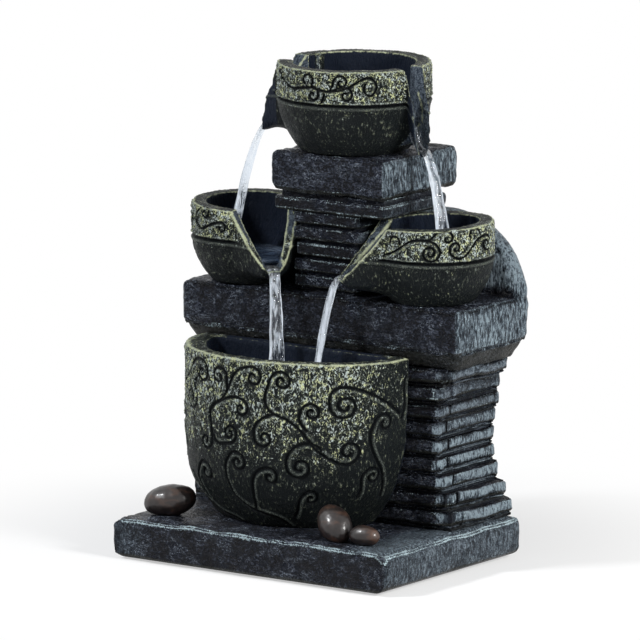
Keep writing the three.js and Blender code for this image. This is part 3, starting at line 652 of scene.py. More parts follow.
def weather(skin, seed, wear, warp, rough, keep=1.0):
    """Wears a slate casting's edges by the depth and reach of wear, and roughens it: crooked all over, lumpy
    in front and behind, hammered upright on its sides and rippled on top. keep is 0 where it stays smooth."""
    skin.round_off(*wear, seed + 9)
    weights = skin.plain**2
    crooked = np.stack([field(skin.at, 24.0, 2, seed + k) for k in range(3)], 1)
    skin.move(crooked * np.reshape(keep * warp, (-1, 1)))
    sides = field(skin.at, (2.8, 2.8, 9.0), 3, seed + 3)
    fronts = field(skin.at, (6.0, 6.0, 3.6), 4, seed + 4)
    tops = field(skin.at, (19.0, 4.6, 6.0), 3, seed + 5)
    chipped = bumps(skin.at, (4.6, 4.6, 3.6), seed + 6) - 0.55
    relief = weights[:, 0] * sides * 0.5 + weights[:, 1] * (fronts * 0.55 + chipped * 0.45)
    relief += weights[:, 2] * (tops * 0.5 + chipped * 0.2)
    skin.push(keep * rough * relief)


def finish_slate(skin, worn, lit=1.0, brushed=0.0, gap=0.0, paler=0.0):
    """worn is how much of the edges shows pale, lit how much of the sides is dry-brushed, brushed how much of
    the rest is, gap is 1 in the gaps, which are painted dark as shade, and paler lifts the open-sky mark:
    above 0 it takes painted shade away and adds dry-brush, below 0 it deepens the painted shade."""
    side = step(0.4, 0.8, np.abs(skin.plain[:, 0])) * step(-0.35, -0.1, skin.plain[:, 2]) * lit
    skin.finish(
        SLATE,
        edge=skin.edge + 1.2 * (1.0 - worn),
        crest=skin.crest(),
        # the open-sky mark, which the finish turns into painted shade in hollows; in the gaps it is cut down
        # to paint them dark
        sky=(skin.open_sky(9.0) + paler) * (1.0 - 0.9 * gap),
        side=np.maximum(side, brushed),
        top=step(0.5, 0.9, skin.plain[:, 2]) - step(0.15, 0.5, -skin.plain[:, 2]),
    )


def base_slab():
    """The slab stays flat under its feet. It is brushed pale at its left front corner and its right rear one,
    partly as dry-brush and partly as painted highlights for the glints there.
    """
    above_the_foot = 12.0
    skin = sawn("base_slab", (1.5, 1.5, 1.5), lambda point: point.z > above_the_foot)
    keep = step(0.0, 2.5, skin.at[:, 2] - skin.at[:, 2].min())
    skin.round_box("base_slab", 8.0)
    weather(skin, 0, SLAB_WEAR, warp=0.8, rough=0.8, keep=keep)
    # dry-brushed pale patches that also paint the glints seen at the left front corner and on top at the
    # right rear
    front = step(0.5, 0.9, -skin.plain[:, 1]) * step(-66.0, -94.0, skin.at[:, 0])
    rear = step(0.5, 0.9, skin.plain[:, 2]) * step(62.0, 84.0, skin.at[:, 0])
    brushed = np.maximum(0.5 * front, 0.85 * rear)
    # painted shade: the open-sky mark is lowered on the front faces, darkening that side
    finish_slate(skin, 1.35, lit=0.6, brushed=brushed, paler=-0.12 * step(0.3, 0.8, -skin.plain[:, 1]))


def shoulder_rock():
    """The boulder that rises behind the bowls is paler than the slab, and the slab's left end is rounded."""
    slab_top, boulder_front = 156.0, 54.0
    skin = sawn("shoulder_rock", (1.6, 1.6, 1.6))
    low, high = bounds_mm("shoulder_rock")
    left = (skin.at[:, 0] < 0.0) & (skin.at[:, 1] < boulder_front) & (skin.at[:, 2] < slab_top + 0.5)
    skin.round_corners(low, np.array([high[0], high[1], slab_top]), [0, 2], 5.0, left)
    weather(skin, 20, SLAB_WEAR, warp=0.9, rough=1.0)
    boulder = step(slab_top + 1.0, slab_top + 6.0, skin.at[:, 2])
    finish_slate(skin, 0.6, brushed=0.9 * boulder, paler=0.3 * boulder)


def cap_block():
    skin = sawn("cap_block", (1.0, 1.0, 1.0))
    skin.round_box("cap_block", 4.0)
    weather(skin, 40, SLAB_WEAR, warp=0.7, rough=1.2)
    finish_slate(skin, 0.45, paler=0.13 * step(0.3, 0.8, -skin.plain[:, 1]))


def access_cover():
    skin = sawn("access_cover", (1.2, 1.2, 1.2))
    weather(skin, 60, SLAB_WEAR, warp=0.2, rough=0.4)
    finish_slate(skin, 0.4)


def reach_of_courses(height, reach):
    """How far out a stack's courses reach at each point's height, carried on across the gaps between them."""
    rows = np.round(height - height.min()).astype(int)
    widest = np.full(rows.max() + 1, -FAR_AWAY)
    np.maximum.at(widest, rows, reach)
    for widen in (np.max, np.min):
        padded = np.pad(widest, 6, "edge")
        widest = widen([padded[k:k + len(widest)] for k in range(13)], axis=0)
    return widest[rows]


def fill_gaps(skin, outer, depth):
    """Makes the gaps between the courses no deeper than that. Returns how much each point is in one."""
    ways = np.array([(1.0, 0.0), (-1.0, 0.0), (0.0, -1.0), (0.0, 1.0)])
    reaches = [skin.at[:, :2] @ way for way in ways]
    hulls = [reach_of_courses(skin.at[:, 2], np.where(outer, reach, -FAR_AWAY)) for reach in reaches]
    inwards = np.array(hulls) - np.array(reaches)
    gap = outer * step(2.4, 3.4, inwards.min(axis=0))
    moved = np.where(inwards < 12.0, np.maximum(inwards - depth, 0.0) * 0.92, 0.0) * gap
    skin.move(np.column_stack([moved.T @ ways, np.zeros(len(gap))]))
    return gap


def lower_tower():
    """Courses that swell at their edges, over gaps with a thin shim in each. The well inside stays as it
    is."""
    skin = sawn("lower_tower", (1.7, 1.7, 1.4))
    low, high = bounds_mm("lower_tower")
    height = skin.at[:, 2].copy()
    inner = np.all((skin.at > low + 9.0) & (skin.at < high - (9.0, 6.0, 0.0)), axis=1)
    hatch = (skin.at[:, 1] > high[1] - 14.0) & (np.abs(skin.at[:, 0]) < 48.0)
    phase = (height - low[2]) % COURSE
    shim = (np.abs(phase - SHIM_MIDDLE) < 0.55) * 1.0
    # the gaps are made shallow and painted dark, as painted shade in place of the shade that deep gaps would
    # hold
    gap = fill_gaps(skin, ~inner & ~hatch, depth=2.0) * (1.0 - shim)
    swell = 0.45 * (hump(phase, 0.0, 0.8) + hump(phase, COURSE, 0.8)) - 0.55 * hump(phase, JOINT, 0.8)
    swell *= ~inner * step(1.0, 2.0, height - low[2]) * step(1.0, 2.0, high[2] - height)
    skin.move(swell[:, None] * (0.0, 0.0, 1.0))
    weather(skin, 100, (0.8, 2.4), warp=1.2, rough=0.8, keep=1.0 - inner)
    height = skin.at[:, 2]
    lit = 1.0 - 0.5 * step(low[2] + 40.0, high[2] - 15.0, height)
    side = step(0.4, 0.8, np.abs(skin.plain[:, 0]))
    paler = side * (0.25 + 0.17 * step(high[2] - 30.0, low[2] + 20.0, height)) + shim * 0.6
    finish_slate(skin, 0.45, lit=lit, gap=gap * (0.3 + 0.7 * lit), paler=paler)


def upper_tower():
    skin = sawn("upper_tower", (1.3, 1.3, 1.1))
    weather(skin, 120, (0.4, 1.6), warp=0.45, rough=0.3)
    # painted shade: the open-sky mark is lowered all over the neck, which sits between the bowls under the
    # cap
    finish_slate(skin, 0.75, lit=0.6, paler=-0.3)


# ------------------------------------------------------------------ carved bowls
# LIPS gives the headings of each bowl's lips in degrees, the rest is in millimetres but for NOTCH_GILD.
BASIN_HALF_DEPTH = 57.0
MIDDLE_RADIUS = 36.0
LIPS = {"left_bowl": (-41.0,), "right_bowl": (221.0,), "top_bowl": (-11.0, 191.0)}
NOTCH_GILD = 2.0
SCROLL_REACH = 4.0
CUT_DEPTH = 0.9
RIB_HEIGHT = 0.65


def bend(start, heading, end, arriving, pull=0.45):
    """A plain stem in millimetres along and up a bowl's wall, with its headings at both ends."""
    start, end = np.array(start, float), np.array(end, float)
    lever = pull * np.linalg.norm(end - start)
    leave, arrive = (np.array([math.cos(a), math.sin(a)]) for a in np.radians((heading, arriving)))
    t = np.linspace(0.0, 1.0, 60)[:, None]
    first, second = start + lever * leave, end - lever * arrive
    return (1 - t) ** 3 * start + 3 * (1 - t) ** 2 * t * first + 3 * (1 - t) * t**2 * second + t**3 * end


def curl(centre, radius, entry, hand, turns=1.35, root=None, heading=90.0, pull=0.45, close=0.78):
    """A scroll on a bowl's wall: a stem from root, if it has one, and a spiral that winds in from the entry
    angle. Hand 1 is anticlockwise, and close is the share of the radius that it loses on the way."""
    turn = np.linspace(0.0, 1.0, 80)
    angle = math.radians(entry) + hand * turns * 2.0 * math.pi * turn
    reach = radius * (1.0 - close * turn**0.85)
    spiral = np.array(centre) + np.stack([reach * np.cos(angle), reach * np.sin(angle)], 1)
    if root is None:
        return spiral
    inwards = spiral[1] - spiral[0]
    arriving = math.degrees(math.atan2(inwards[1], inwards[0]))
    return np.concatenate([bend(root, heading, spiral[0], arriving, pull), spiral])


BASIN_SCROLLS = [
    curl((-33.5, 88.5), 7.8, 100, -1, 1.1, (-60, 80), 20, 0.4),
    curl((-17.5, 88.5), 7.0, -20, 1, 1.2, (-10, 82), 100),
    curl((8, 90.5), 6.5, 110, -1, 1.2, (-21, 72), 25, 0.5),
    curl((-0.5, 71.3), 5.8, 90, -1, 1.2, (-21, 72), 20),
    curl((-30, 49), 6.0, 10, -1, 1.1, (-21, 72), 215, 0.5),
    curl((-9, 56), 6.0, 270, 1, 1.5, (-22, 53), 290),
    curl((26, 89.5), 6.8, 170, -1, 1.4, (20, 71), 145),
    curl((60, 76), 8.5, 170, 1, 1.5, (96, 69), 140, 0.45),
    curl((84.5, 64.5), 7.0, 170, -1, 1.1, (90, 20), 92),
    curl((42.5, 72), 6.0, 175, -1, 1.3, (40, 61), 130),
    curl((15, 55.5), 6.5, 175, 1, 1.1, (21, 70), 200),
    curl((63, 49), 8.5, 235, 1, 1.25, (21, 70), -15, 0.5),
    curl((36.5, 39), 8.0, 175, 1, 1.3, (48, 50), 125, 0.5),
    curl((-4, 39), 7.2, 150, -1, 1.35, (-12, 18), 105),
    curl((18, 32), 6.2, 120, -1, 1.1, (4, 12), 85),
    curl((-34, 29), 7.5, 160, -1, 1.2, (-44, 12), 100),
    curl((-48, 72), 9.0, 50, -1, 1.3, (-40, 88), 320),
    curl((80, 33), 5.8, 140, -1, 1.3, (73, 20), 70),
    curl((44, 20), 5.0, 140, -1, 1.2, (34, 8), 60),
    bend((-13, 20), 305, (31, 0), 320, 0.4),
    bend((-56, 26), 285, (-14, 0), 345, 0.5),
    curl((-72, 60), 8.0, 150, -1, 1.3, (-62, 42), 100),
    curl((-92, 82), 8.0, 100, -1, 1.2, (-104, 60), 60),
    curl((-90, 44), 7.0, 90, 1, 1.2, (-74, 34), 150),
    curl((-110, 40), 7.0, 150, -1, 1.2, (-100, 16), 110),
    curl((106, 84), 7.0, 100, -1, 1.2, (98, 66), 60),
    curl((112, 52), 7.5, 90, -1, 1.3, (102, 30), 70),
]
TOP_SCROLLS = [
    curl((-1.5, 45.5), 3.9, -40, 1, 0.75, (2, 42), 60, close=0.3),
    curl((20, 45), 5.0, 190, -1, 1.2, (13.5, 40.5), 75),
    bend((-24, 44), -40, (-3, 41), 10),
    curl((-31, 43.5), 4.2, 10, 1, 0.6, (-24, 44), 130, close=0.2),
    bend((-3, 41), 15, (10, 39.7), 0),
    curl((35.5, 42.5), 5.4, 120, -1, 0.5, (10, 39.7), 0, 0.5, close=0.0),
    curl((37.5, 41.5), 4.2, 140, 1, 0.42, close=0.0),
    curl((2.3, 37), 4.5, 60, -1, 1.0, (-2, 41), 0),
    curl((22.8, 37.6), 5.0, 110, -1, 1.1, (13, 39.8), 10),
    bend((8, 33), 60, (10, 38), 70),
]
RIGHT_SCROLLS = [
    curl((-2.5, 38.5), 3.8, -10, 1, 0.55, close=0.1),
    curl((20, 33.5), 6.8, 90, -1, 1.6, (-10, 30.5), 15, 0.5),
    curl((30, 42), 4.8, 110, -1, 0.85, (19, 41), 30, 0.5),
    curl((35.5, 36), 4.8, 250, -1, 1.1, (52, 41), 215),
    curl((48.5, 42.5), 4.6, -20, 1, 0.6, close=0.2),
    curl((59, 36.5), 5.6, 110, -1, 1.4, (51, 40), 20),
]
LEFT_SCROLLS = [
    curl((3, 34.7), 3.9, 120, -1, 0.95, (-20, 37), -45, 0.55),
    curl((-9.5, 42.3), 4.2, 100, -1, 1.2, (-24, 37.3), 20, 0.35),
]


def inner_side(line, shift):
    """The line that runs beside a scroll, that far inside its bend."""
    steps = np.gradient(line, axis=0)
    left = unit(np.stack([-steps[:, 1], steps[:, 0]], 1))
    turning = (steps[:-1, 0] * steps[1:, 1] - steps[:-1, 1] * steps[1:, 0]).sum()
    return line + math.copysign(shift, turning) * left


class Wall:
    """Where points lie on a bowl's wall: along it from its frontmost line, up from its foot, how far out of
    its middle, and whether they are on its outside or on the sawn sides of its lips."""

    def __init__(self, at, out, centre, half_x, half_y, up=None):
        x, y = (at[:, 0] - centre[0]) / half_x, (at[:, 1] - centre[1]) / half_y
        angle = np.arctan2(x, -y)
        turn = np.linspace(-math.pi, math.pi, 721)
        arc = np.hypot(half_x * np.cos(turn), half_y * np.sin(turn))
        along = np.concatenate([[0.0], np.cumsum(0.5 * (arc[1:] + arc[:-1]) * np.diff(turn))])
        self.along = np.interp(angle, turn, along - along[360])
        self.up = at[:, 2] - centre[2] if up is None else up
        self.share = np.hypot(x, y)
        self.angle = angle
        self.centre = centre
        self.radius = half_x
        facing = np.sin(angle) * out[:, 0] - np.cos(angle) * out[:, 1]
        sideways = np.abs(np.cos(angle) * out[:, 0] + np.sin(angle) * out[:, 1])
        self.outside = step(0.05, 0.3, facing) * step(0.6, 0.66, self.share)
        self.sawn = step(0.45, 0.75, sideways) * step(0.7, 0.8, self.share)


def distance_to(lines, along, up):
    """The distance in millimetres from each place on the wall to the nearest scroll."""
    tree = tree_of([(x, y, 0.0) for x, y in np.concatenate(lines).tolist()])
    return np.array([tree.find((x, y, 0.0))[2] for x, y in zip(along.tolist(), up.tolist())])


def outside_of(*oval):
    """A test for points: are they on the outside of that bowl's wall?"""
    return lambda at, out: Wall(at, out, *oval).outside > 0.3


def carve(skin, wall, finish, carved, scrolls, gild, seed, width, rough=1.0, hoop=0.0):
    """Pits the wall where it is gilded, cuts the scrolls into it where it is carved, with a raised rib inside
    each and one along the hoop, and gives it its marks."""
    skin.push(0.4 * field(skin.at, 16.0, 2, seed))
    chosen = carved > 0.05
    along, up = wall.along[chosen], wall.up[chosen]
    away, beside = np.full((2, len(skin.at)), SCROLL_REACH)
    away[chosen] = np.minimum(distance_to(scrolls, along, up), SCROLL_REACH)
    beside[chosen] = distance_to([inner_side(line, 1.9 * width) for line in scrolls], along, up)
    away = away / width + SCROLL_REACH * (1.0 - carved)
    cut = 1.0 - step(0.3, 0.95, away)
    rib = np.maximum((1.0 - step(0.2, 1.0, beside / width)) * (1.0 - cut) * carved, hoop)
    grains = bumps(skin.at, (2.2, 2.2, 2.0), seed + 1) - 0.6
    fine = 0.5 * field(skin.at, 1.5, 2, seed + 2)
    pits = rough * (0.12 + 0.3 * np.clip(gild, 0.0, 1.0)) * (grains + fine) * (1.0 - cut)
    skin.push(pits + RIB_HEIGHT * rib - CUT_DEPTH * cut)
    scroll = np.minimum(away, SCROLL_REACH)
    sky = skin.open_sky(5.0)
    skin.finish(finish, edge=skin.edge, crest=skin.crest(), sky=sky, scroll=scroll, rib=rib, gild=gild)


def basin():
    """The basin is drawn out at its right end, thicker inside at its left and fuller low on its left."""
    low, high = bounds_mm("basin")
    top = high[2] - low[2]
    half_x, half_y = (high[0] - low[0]) / 2, BASIN_HALF_DEPTH
    oval = (((low[0] + high[0]) / 2, low[1] + half_y, low[2]), half_x, half_y)
    skin = cast("basin", voxel=1.34, soften=2, finer=outside_of(*oval), kept=on_rim("basin", oval[0]))
    wall = Wall(skin.at, skin.plain, *oval)
    off = (skin.at[:, 0] - oval[0][0]) / half_x
    stretch = (3.5 + 2.5 * step(0.3 * top, top, wall.up)) * step(0.3, 1.0, off)
    thicker = 4.0 * step(-0.35, -0.8, off) * (1.0 - wall.outside) * step(1.05, 0.9, wall.share)
    fuller = 3.5 * wall.outside * hump(wall.up, 22.0, 16.0) * step(-0.2, -0.7, off)
    skin.move((stretch + thicker - fuller)[:, None] * (1.0, 0.0, 0.0))
    skin.edge = np.where(wall.share > 0.93, 0.7, 1.0) * skin.edge
    on_face = wall.outside * step(0.0, 3.0, high[1] - skin.at[:, 1])
    upper = step(0.12 * top, 0.8 * top, wall.up + 6.0 * field(skin.at, 22.0, 2, 90))
    # darker towards the right end: partly thinner gilt, partly painted shade where the basin turns in against
    # the tower
    fade_and_shade = 1.0 - 0.6 * step(58.0, 88.0, wall.along)
    rim = step(0.6, 0.9, skin.plain[:, 2]) * step(0.75, 0.8, wall.share)
    gild = on_face * upper * fade_and_shade + (1.0 - on_face) * (1.55 * rim - 1.0)
    carved = on_face * step(0.5, 2.0, top - wall.up)
    carve(skin, wall, CARVED, carved, BASIN_SCROLLS, gild, seed=100, width=1.15)


def round_middle(node):
    """The middle of a round bowl, at its foot, and its radius, in millimetres."""
    low, high = bounds_mm(node)
    if node == "top_bowl":
        nozzle_low, nozzle_high = bounds_mm("outlet_nozzle")
        x, y = (nozzle_low[:2] + nozzle_high[:2]) / 2
        return (x, y, low[2]), high[1] - y
    x = low[0] + MIDDLE_RADIUS if node == "left_bowl" else high[0] - MIDDLE_RADIUS
    return (x, high[1] - MIDDLE_RADIUS, low[2]), MIDDLE_RADIUS


def around_lip(skin, wall, heading):
    """How far each point lies aside of the middle of the lip at that heading, how much it is on the lip's
    flanks, and how much in the notch between them."""
    ahead = np.array([math.cos(heading), math.sin(heading)])
    aside = np.array([-ahead[1], ahead[0]])
    place = (skin.at[:, :2] - wall.centre[:2]) / wall.radius
    off = place @ aside
    near = step(0.6, 0.7, place @ ahead) * (np.abs(off) < 0.5)
    turned_out = np.sign(off) * (skin.plain[:, :2] @ aside)
    flanks = near * step(0.3, 0.6, turned_out) * step(1.0, 1.05, wall.share)
    return np.abs(off), flanks, near * step(0.3, 0.6, -turned_out)


def round_bowl(node, groove, scrolls, seed, gilded, reshape=None):
    """A small bowl with a gilded band over its groove, which is that high over its foot. gilded is how far
    its lips are gilded too."""
    centre, radius = round_middle(node)
    oval = (centre, radius, radius)
    skin = cast(node, voxel=1.08, soften=1, finer=outside_of(*oval), kept=on_rim(node, centre))
    wall = Wall(skin.at, skin.plain, *oval)
    if reshape:
        reshape(skin, wall)
        wall = Wall(skin.at, skin.plain, *oval, wall.up)
    bare = 1.0 - gilded
    lip = step(1.03, 1.1, wall.share)
    band = step(groove - 0.6, groove + 1.2, wall.up)
    rim = step(0.6, 0.9, skin.plain[:, 2]) * step(0.7, 0.75, wall.share)
    skin.edge = skin.edge * (1.0 - 0.45 * gilded * step(3.0, 6.0, skin.at[:, 2].max() - skin.at[:, 2]))
    below = 0.34 * step(groove - 20.0, groove - 2.0, wall.up)
    spout = gilded * step(groove - 16.0, groove + 8.0, wall.up)
    spout -= bare * (0.75 - 0.6 * step(groove - 2.0, groove + 12.0, wall.up))
    gild = wall.outside * (np.maximum(band, below) * (1.0 - lip) + spout * lip)
    gild += (1.0 - wall.outside) * (1.4 * np.maximum(0.4 * wall.sawn, rim) - 1.0)
    for heading in np.radians(LIPS[node]):
        off, flanks, notch = around_lip(skin, wall, heading)
        gild = gild * (1.0 - flanks) + spout * flanks
        gild = gild * (1.0 - notch) + NOTCH_GILD * notch
        inner = notch * step(0.9, 0.98, wall.share) * step(groove + 10.0, groove + 4.0, wall.up)
        skin.edge = skin.edge + 4.0 * inner * (off < 0.19) * bare
    ring = np.stack([np.linspace(-200.0, 200.0, 1200), np.full(1200, groove)], 1)
    carved = wall.outside * (1.0 - lip) * step(groove - 4.0, groove - 3.0, wall.up)
    hoop = wall.outside * (1.0 - step(0.3, 1.1, np.abs(wall.up - groove + 1.9)))
    rough = 1.0 - 0.85 * lip
    carve(skin, wall, GILDED, carved, scrolls + [ring], gild, seed, width=0.85, rough=rough, hoop=hoop)


def pull_top_lips(skin, wall):
    """Raises the top bowl's groove, narrows its right notch from the front, draws the right lip out and down,
    and lets the left lip droop."""
    rise = 3.0 * wall.outside * hump(wall.up, 28.0, 5.0)
    reach = (wall.share - 1.0) * wall.radius
    at = np.degrees(wall.angle)
    in_front = 1.0 - step(70.0, 94.0, at)
    swing = step(20.0, 58.0, at) * (3.0 + 8.5 * in_front) * (1.0 - step(98.0, 140.0, at))
    turn = wall.angle + np.radians(swing * (1.0 - 0.9 * step(0.0, 9.0, reach)))
    spoke = wall.share * wall.radius
    x = wall.centre[0] + spoke * np.sin(turn)
    y = wall.centre[1] - spoke * np.cos(turn)
    right = step(0.0, 9.0, reach) * (skin.at[:, 0] > 0.0)
    left = step(4.0, 13.0, reach) * (skin.at[:, 0] < 0.0)
    droop = left * (2.0 + 2.5 * step(14.0, 8.0, wall.up)) + right * (6.0 + 4.0 * in_front)
    new = np.column_stack([x + 4.0 * right - 0.5 * left, y, skin.at[:, 2] + rise - droop])
    skin.move(new - skin.at)
    skin.soften(step(1.0, 1.07, wall.share), 30)
    sector = hump(np.abs(at), 84.0, 26.0)
    skin.soften(sector * step(0.9, 1.0, wall.share) * step(44.0, 40.0, wall.up), 10)
    wall.up = wall.up + rise


def shifted(scrolls, *ways):
    """The scrolls again, that many millimetres along the wall each way."""
    return [line + (way, 0.0) for line in scrolls for way in ways]


def round_bowls():
    for seed, node, scrolls in ((199, "left_bowl", LEFT_SCROLLS), (201, "right_bowl", RIGHT_SCROLLS)):
        around = shifted(scrolls + RIGHT_SCROLLS, 90.0, -90.0)
        round_bowl(node, 27.0, scrolls + around, seed, gilded=0.85)
    half_round = math.pi * round_middle("top_bowl")[1]
    around = shifted(TOP_SCROLLS, -half_round, half_round)
    round_bowl("top_bowl", 31.0, TOP_SCROLLS + around, 220, gilded=0.0, reshape=pull_top_lips)


# ------------------------------------------------------------------ pebbles and the plain CAD pieces
def pebbles():
    for seed, node in enumerate(("pebble_left", "pebble_front", "pebble_small")):
        skin = cast(node, voxel=0.7, soften=6)
        grounded = step(0.0, 2.0, skin.at[:, 2] - skin.at[:, 2].min())
        crooked = 0.7 * field(skin.at, 14.0, 2, 300 + seed) + 0.05 * field(skin.at, 1.6, 2, 310 + seed)
        skin.push(grounded * crooked)
        skin.finish(PEBBLE)


def repaint():
    finishes = {
        "soft_rubber": RUBBER, "clear_tube": tube_finish(), "pump_plastic": PLASTIC, "slider_plastic": SLIDER,
        "ferrite": ferrite_finish(), "shaft_ceramic": ceramic_finish(),
    }
    for part in frame["record"]["subparts"]:
        finish = finishes.get(part["material_slot"])
        if finish:
            mesh = frame["nodes"][part["node"]].data
            mesh.materials.clear()
            mesh.materials.append(finish)


# ------------------------------------------------------------------ water
# The water's levels are over the bowls' undersides. CHANNEL_TURN is in degrees.
BOWL_LEVEL = 0.0165
BASIN_LEVEL = 0.052
FALL_STEPS = 40
STREAM_WIDTH = 0.0084
CHANNEL_TURN = 5.0


def channel(node, ahead):
    """The way down the lip of a finished bowl, just over the middle of its channel."""
    surface = surface_of(copy_of(bpy.data.objects[node + "_stone"].data))
    start = Vector(round_middle(node)[0]) * MM
    path = []
    for k in range(60):
        point = start + ahead * (0.028 + k * 0.0007)
        hit = surface.ray_cast(point + Vector((0.0, 0.0, 0.03)), DOWN)[0]
        if hit is None:
            break
        path.append(Vector((point.x, point.y, hit.z + 0.0012)))
    return path


def fall(path, ahead, water, throw):
    """The way on from the lip's tip, down to that level and out by that throw."""
    tip = path[-1]
    slope = (path[-1] - path[-4]).normalized()
    straight = slope.z / max(slope.to_2d().length, 0.3) * throw
    height = tip.z - water + straight
    shares = [k / FALL_STEPS for k in range(1, FALL_STEPS + 1)]
    return [tip + ahead * throw * t + Vector((0.0, 0.0, straight * t - height * t * t)) for t in shares]


def stream(name, node, heading, water, throw, seed):
    """Water that runs down a bowl's lip and falls to the water below, by that throw out from the lip. Returns
    where it lands."""
    ahead = Vector((math.cos(math.radians(heading)), math.sin(math.radians(heading)), 0.0))
    across = Vector((-ahead.y, ahead.x, 0.0))
    path = channel(node, ahead)
    path += fall(path, ahead, water, throw)
    work = bmesh.new()
    for mark in ("border", "falling"):
        work.verts.layers.float.new(mark)
    border, falling = (work.verts.layers.float[mark] for mark in ("border", "falling"))
    rings = [list(bmesh.ops.create_circle(work, segments=28, radius=1.0)["verts"])]
    for _ in path[1:]:
        last = rings[-1]
        edges = list({edge for vert in last for edge in vert.link_edges if edge.other_vert(vert) in last})
        geometry = bmesh.ops.extrude_edge_only(work, edges=edges)["geom"]
        rings.append([part for part in geometry if isinstance(part, bmesh.types.BMVert)])
    for index, verts in enumerate(rings):
        fallen = max(0.0, (index - (len(path) - FALL_STEPS - 1)) / FALL_STEPS)
        before, after = path[max(index - 1, 0)], path[min(index + 1, len(path) - 1)]
        up = across.cross((after - before).normalized()).normalized()
        if up.z < 0:
            up = -up
        waist = 1.0 - 0.3 * math.sin(math.pi * min(1.0, fallen * 1.3) ** 0.8) + 0.1 * fallen
        half = 0.5 * STREAM_WIDTH * waist
        thick = (1.3 + 0.9 * math.sin(math.pi * fallen)) * MM
        for vert in verts:
            turn = math.atan2(vert.co.y, vert.co.x)
            side, rise = math.cos(turn), math.sin(turn)
            streak = noise.noise(Vector((side * 2.4 + seed, rise * 2.4, index * 0.045)))
            ripple = noise.noise(Vector((seed, index * 0.3, side)))
            vert[border] = abs(side) * min(1.0, 4.0 * fallen)
            vert[falling] = min(1.0, 0.25 + 4.0 * fallen)
            swell = 1.0 + 0.34 * streak + 0.12 * ripple * min(1.0, fallen * 3.0)
            vert.co = path[index] + (across * side * half + up * rise * thick) * swell
    for end in (rings[0], rings[-1]):
        bmesh.ops.contextual_create(work, geom=end)
    finish_water(work, name, STREAM)
    return path[-1]


def finish_water(work, name, finish):
    bmesh.ops.recalc_face_normals(work, faces=work.faces)
    obj = made(work, name)
    obj.data.materials.append(finish)
    obj.data.shade_smooth()
    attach(obj, BODY)


def pool(node, place, level, reach, landings, seed, depth=0.003, well=0.0):
    """Standing water that fills a bowl to that level round that place, out to its wall or that reach, with
    rings round what falls into it and a well over a nozzle."""
    surface = surface_of(cad_copy(node))
    middle = Vector((place[0], place[1], level))
    work = bmesh.new()
    bmesh.ops.create_cone(work, cap_ends=True, segments=120, radius1=1.0, radius2=1.0, depth=depth)
    for vert in work.verts:
        towards = Vector((vert.co.x, vert.co.y, 0.0)).normalized()
        hit = surface.ray_cast(middle, towards)[0]
        radius = min((hit - middle).length + 0.0004, reach) if hit else reach
        vert.co = middle + towards * radius + Vector((0.0, 0.0, vert.co.z - depth / 2))
    corner = Vector((reach, reach, 0.0))
    cut_evenly(work, middle - corner, middle + corner, (1.2, 1.2))
    for vert in work.verts:
        if vert.co.z > level - 0.0001:
            flat = vert.co / MM
            waves = 0.4 * noise.fractal(Vector((flat.x / 9, flat.y / 9, seed)), 1.0, 2.0, 3)
            for landing in landings:
                away = (vert.co - landing).to_2d().length / MM
                waves += 0.9 * math.cos(away * 1.1) * math.exp(-away / 7.0)
            waves += well * math.exp(-(((vert.co - middle).to_2d().length / MM / 9.0) ** 2))
            vert.co.z += waves * MM
    finish_water(work, "water_in_" + node, POOL)


def running_water():
    """The right fall from the top bowl lands nearer the front, as the notch that it leaves by is turned."""
    basin_low, basin_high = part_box("basin")
    basin_level = basin_low.z + BASIN_LEVEL
    middle_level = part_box("left_bowl")[0].z + BOWL_LEVEL
    top_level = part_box("top_bowl")[0].z + BOWL_LEVEL
    right_lip, left_lip = LIPS["top_bowl"]
    left = stream("fall_top_left", "top_bowl", left_lip, middle_level, throw=0.021, seed=3.0)
    right_lip += CHANNEL_TURN
    right = stream("fall_top_right", "top_bowl", right_lip, middle_level, throw=0.017, seed=9.0)
    falls = [
        stream("fall_middle_left", "left_bowl", *LIPS["left_bowl"], basin_level, throw=0.012, seed=15.0),
        stream("fall_middle_right", "right_bowl", *LIPS["right_bowl"], basin_level, throw=0.018, seed=21.0),
    ]
    left_bowl, right_bowl, top_bowl = (Vector(round_middle(node)[0]) * MM for node in LIPS)
    pool("left_bowl", left_bowl, middle_level, reach=0.034, landings=[left], seed=-1.0)
    pool("right_bowl", right_bowl, middle_level, reach=0.034, landings=[right], seed=1.0)
    pool("top_bowl", top_bowl, top_level, reach=0.040, landings=[], seed=5.0, well=2.5)
    middle = ((basin_low.x + basin_high.x) / 2, basin_low.y + BASIN_HALF_DEPTH * MM - 0.012)
    pool("basin", middle, basin_level, reach=0.068, landings=falls, seed=7.0, depth=0.006)


# ------------------------------------------------------------------ stage and camera
def lamp(name, place, size, power, colour):
    """A round lamp of that size that is aimed at the fountain's middle."""
    light = bpy.data.lights.new(name, "AREA")
    light.shape = "DISK"
    light.size = size
    light.energy = power
    light.color = colour
    obj = new_object(name, light)
    obj.location = place
    obj.rotation_euler = (Vector((0.0, 0.0, 0.13)) - Vector(place)).to_track_quat("-Z", "Y").to_euler()


def backdrop_ray(tree):
    """1 on rays that may see the white background as it is: straight, mirrored or bent ones."""
    path = tree.nodes.new("ShaderNodeLightPath")
    seen = path.outputs["Is Camera Ray"]
    for kind in ("Is Transmission Ray", "Is Glossy Ray"):
        larger = tree.nodes.new("ShaderNodeMath")
        larger.operation = "MAXIMUM"
        tree.links.new(seen, larger.inputs[0])
        tree.links.new(path.outputs[kind], larger.inputs[1])
        seen = larger.outputs[0]
    return seen


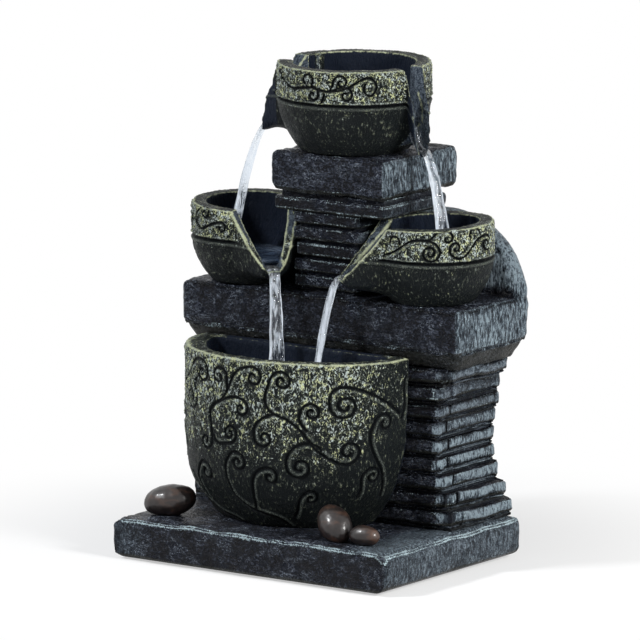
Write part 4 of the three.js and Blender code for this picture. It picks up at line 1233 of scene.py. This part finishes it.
def sweep():
    """A floor that takes the fountain's shadow near it and is plain white further out."""
    work = bmesh.new()
    bmesh.ops.create_circle(work, cap_ends=True, segments=96, radius=1.6)
    floor = made(work, "floor")
    f = Finish("white sweep", Base_Color=(0.93, 0.93, 0.93), Roughness=0.9, Specular_IOR_Level=0.1)
    away = f.node("ShaderNodeVectorMath", {"operation": "LENGTH"}, {0: f.place()}, out="Value")
    seen = Value(f, backdrop_ray(f.tree))
    white = f.node("ShaderNodeEmission", {}, {"Color": (1.0, 1.0, 1.0), "Strength": 1.0})
    f.blend((away.between(100.0, 320.0) * 0.5 + 0.5) * seen, white)
    floor.data.materials.append(f.material)


def studio():
    """Dim sky light round the fountain, white behind it, a key lamp on its right and a main one in front."""
    world = bpy.data.worlds.new("studio")
    bpy.context.scene.world = world
    world.use_nodes = True
    tree = world.node_tree
    sky, white = tree.nodes["Background"], tree.nodes.new("ShaderNodeBackground")
    sky.inputs["Color"].default_value = (0.86, 0.92, 1.0, 1.0)
    sky.inputs["Strength"].default_value = 0.16
    white.inputs["Color"].default_value = (1.0, 1.0, 1.0, 1.0)
    show(tree, "World Output", backdrop_ray(tree), sky.outputs[0], white.outputs[0])
    lamp("key", (1.05, -0.12, 0.56), size=0.35, power=14.0, colour=(1.0, 0.99, 0.97))
    lamp("main", (-0.75, -0.95, 1.1), size=0.25, power=20.0, colour=(0.97, 0.98, 1.0))


def camera():
    """A long lens from the front right, a little above the basin's rim."""
    azimuth, elevation, distance = math.radians(35.38), math.radians(10.29), 4.995
    middle_height, shift = 0.1413, 0.0022
    level, rise = math.cos(elevation), math.sin(elevation)
    back = Vector((math.sin(azimuth) * level, -math.cos(azimuth) * level, rise))
    right = Vector((math.cos(azimuth), math.sin(azimuth), 0.0))
    base_low, base_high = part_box("base_slab")
    aim = Vector((0.0, (base_low.y + base_high.y) / 2, middle_height)) + shift * right
    lens = bpy.data.cameras.new("camera")
    lens.lens = 482.7
    lens.sensor_width = 36.0
    lens.clip_end = 20.0
    eye = new_object("camera", lens)
    eye.location = aim + distance * back
    eye.rotation_euler = (-back).to_track_quat("-Z", "Y").to_euler()
    bpy.context.scene.camera = eye
    bpy.context.scene.view_settings.view_transform = "Standard"


# ------------------------------------------------------------------ the fountain
camera()
sweep()
studio()
base_slab()
shoulder_rock()
cap_block()
access_cover()
lower_tower()
upper_tower()
basin()
round_bowls()
pebbles()
repaint()
running_water()
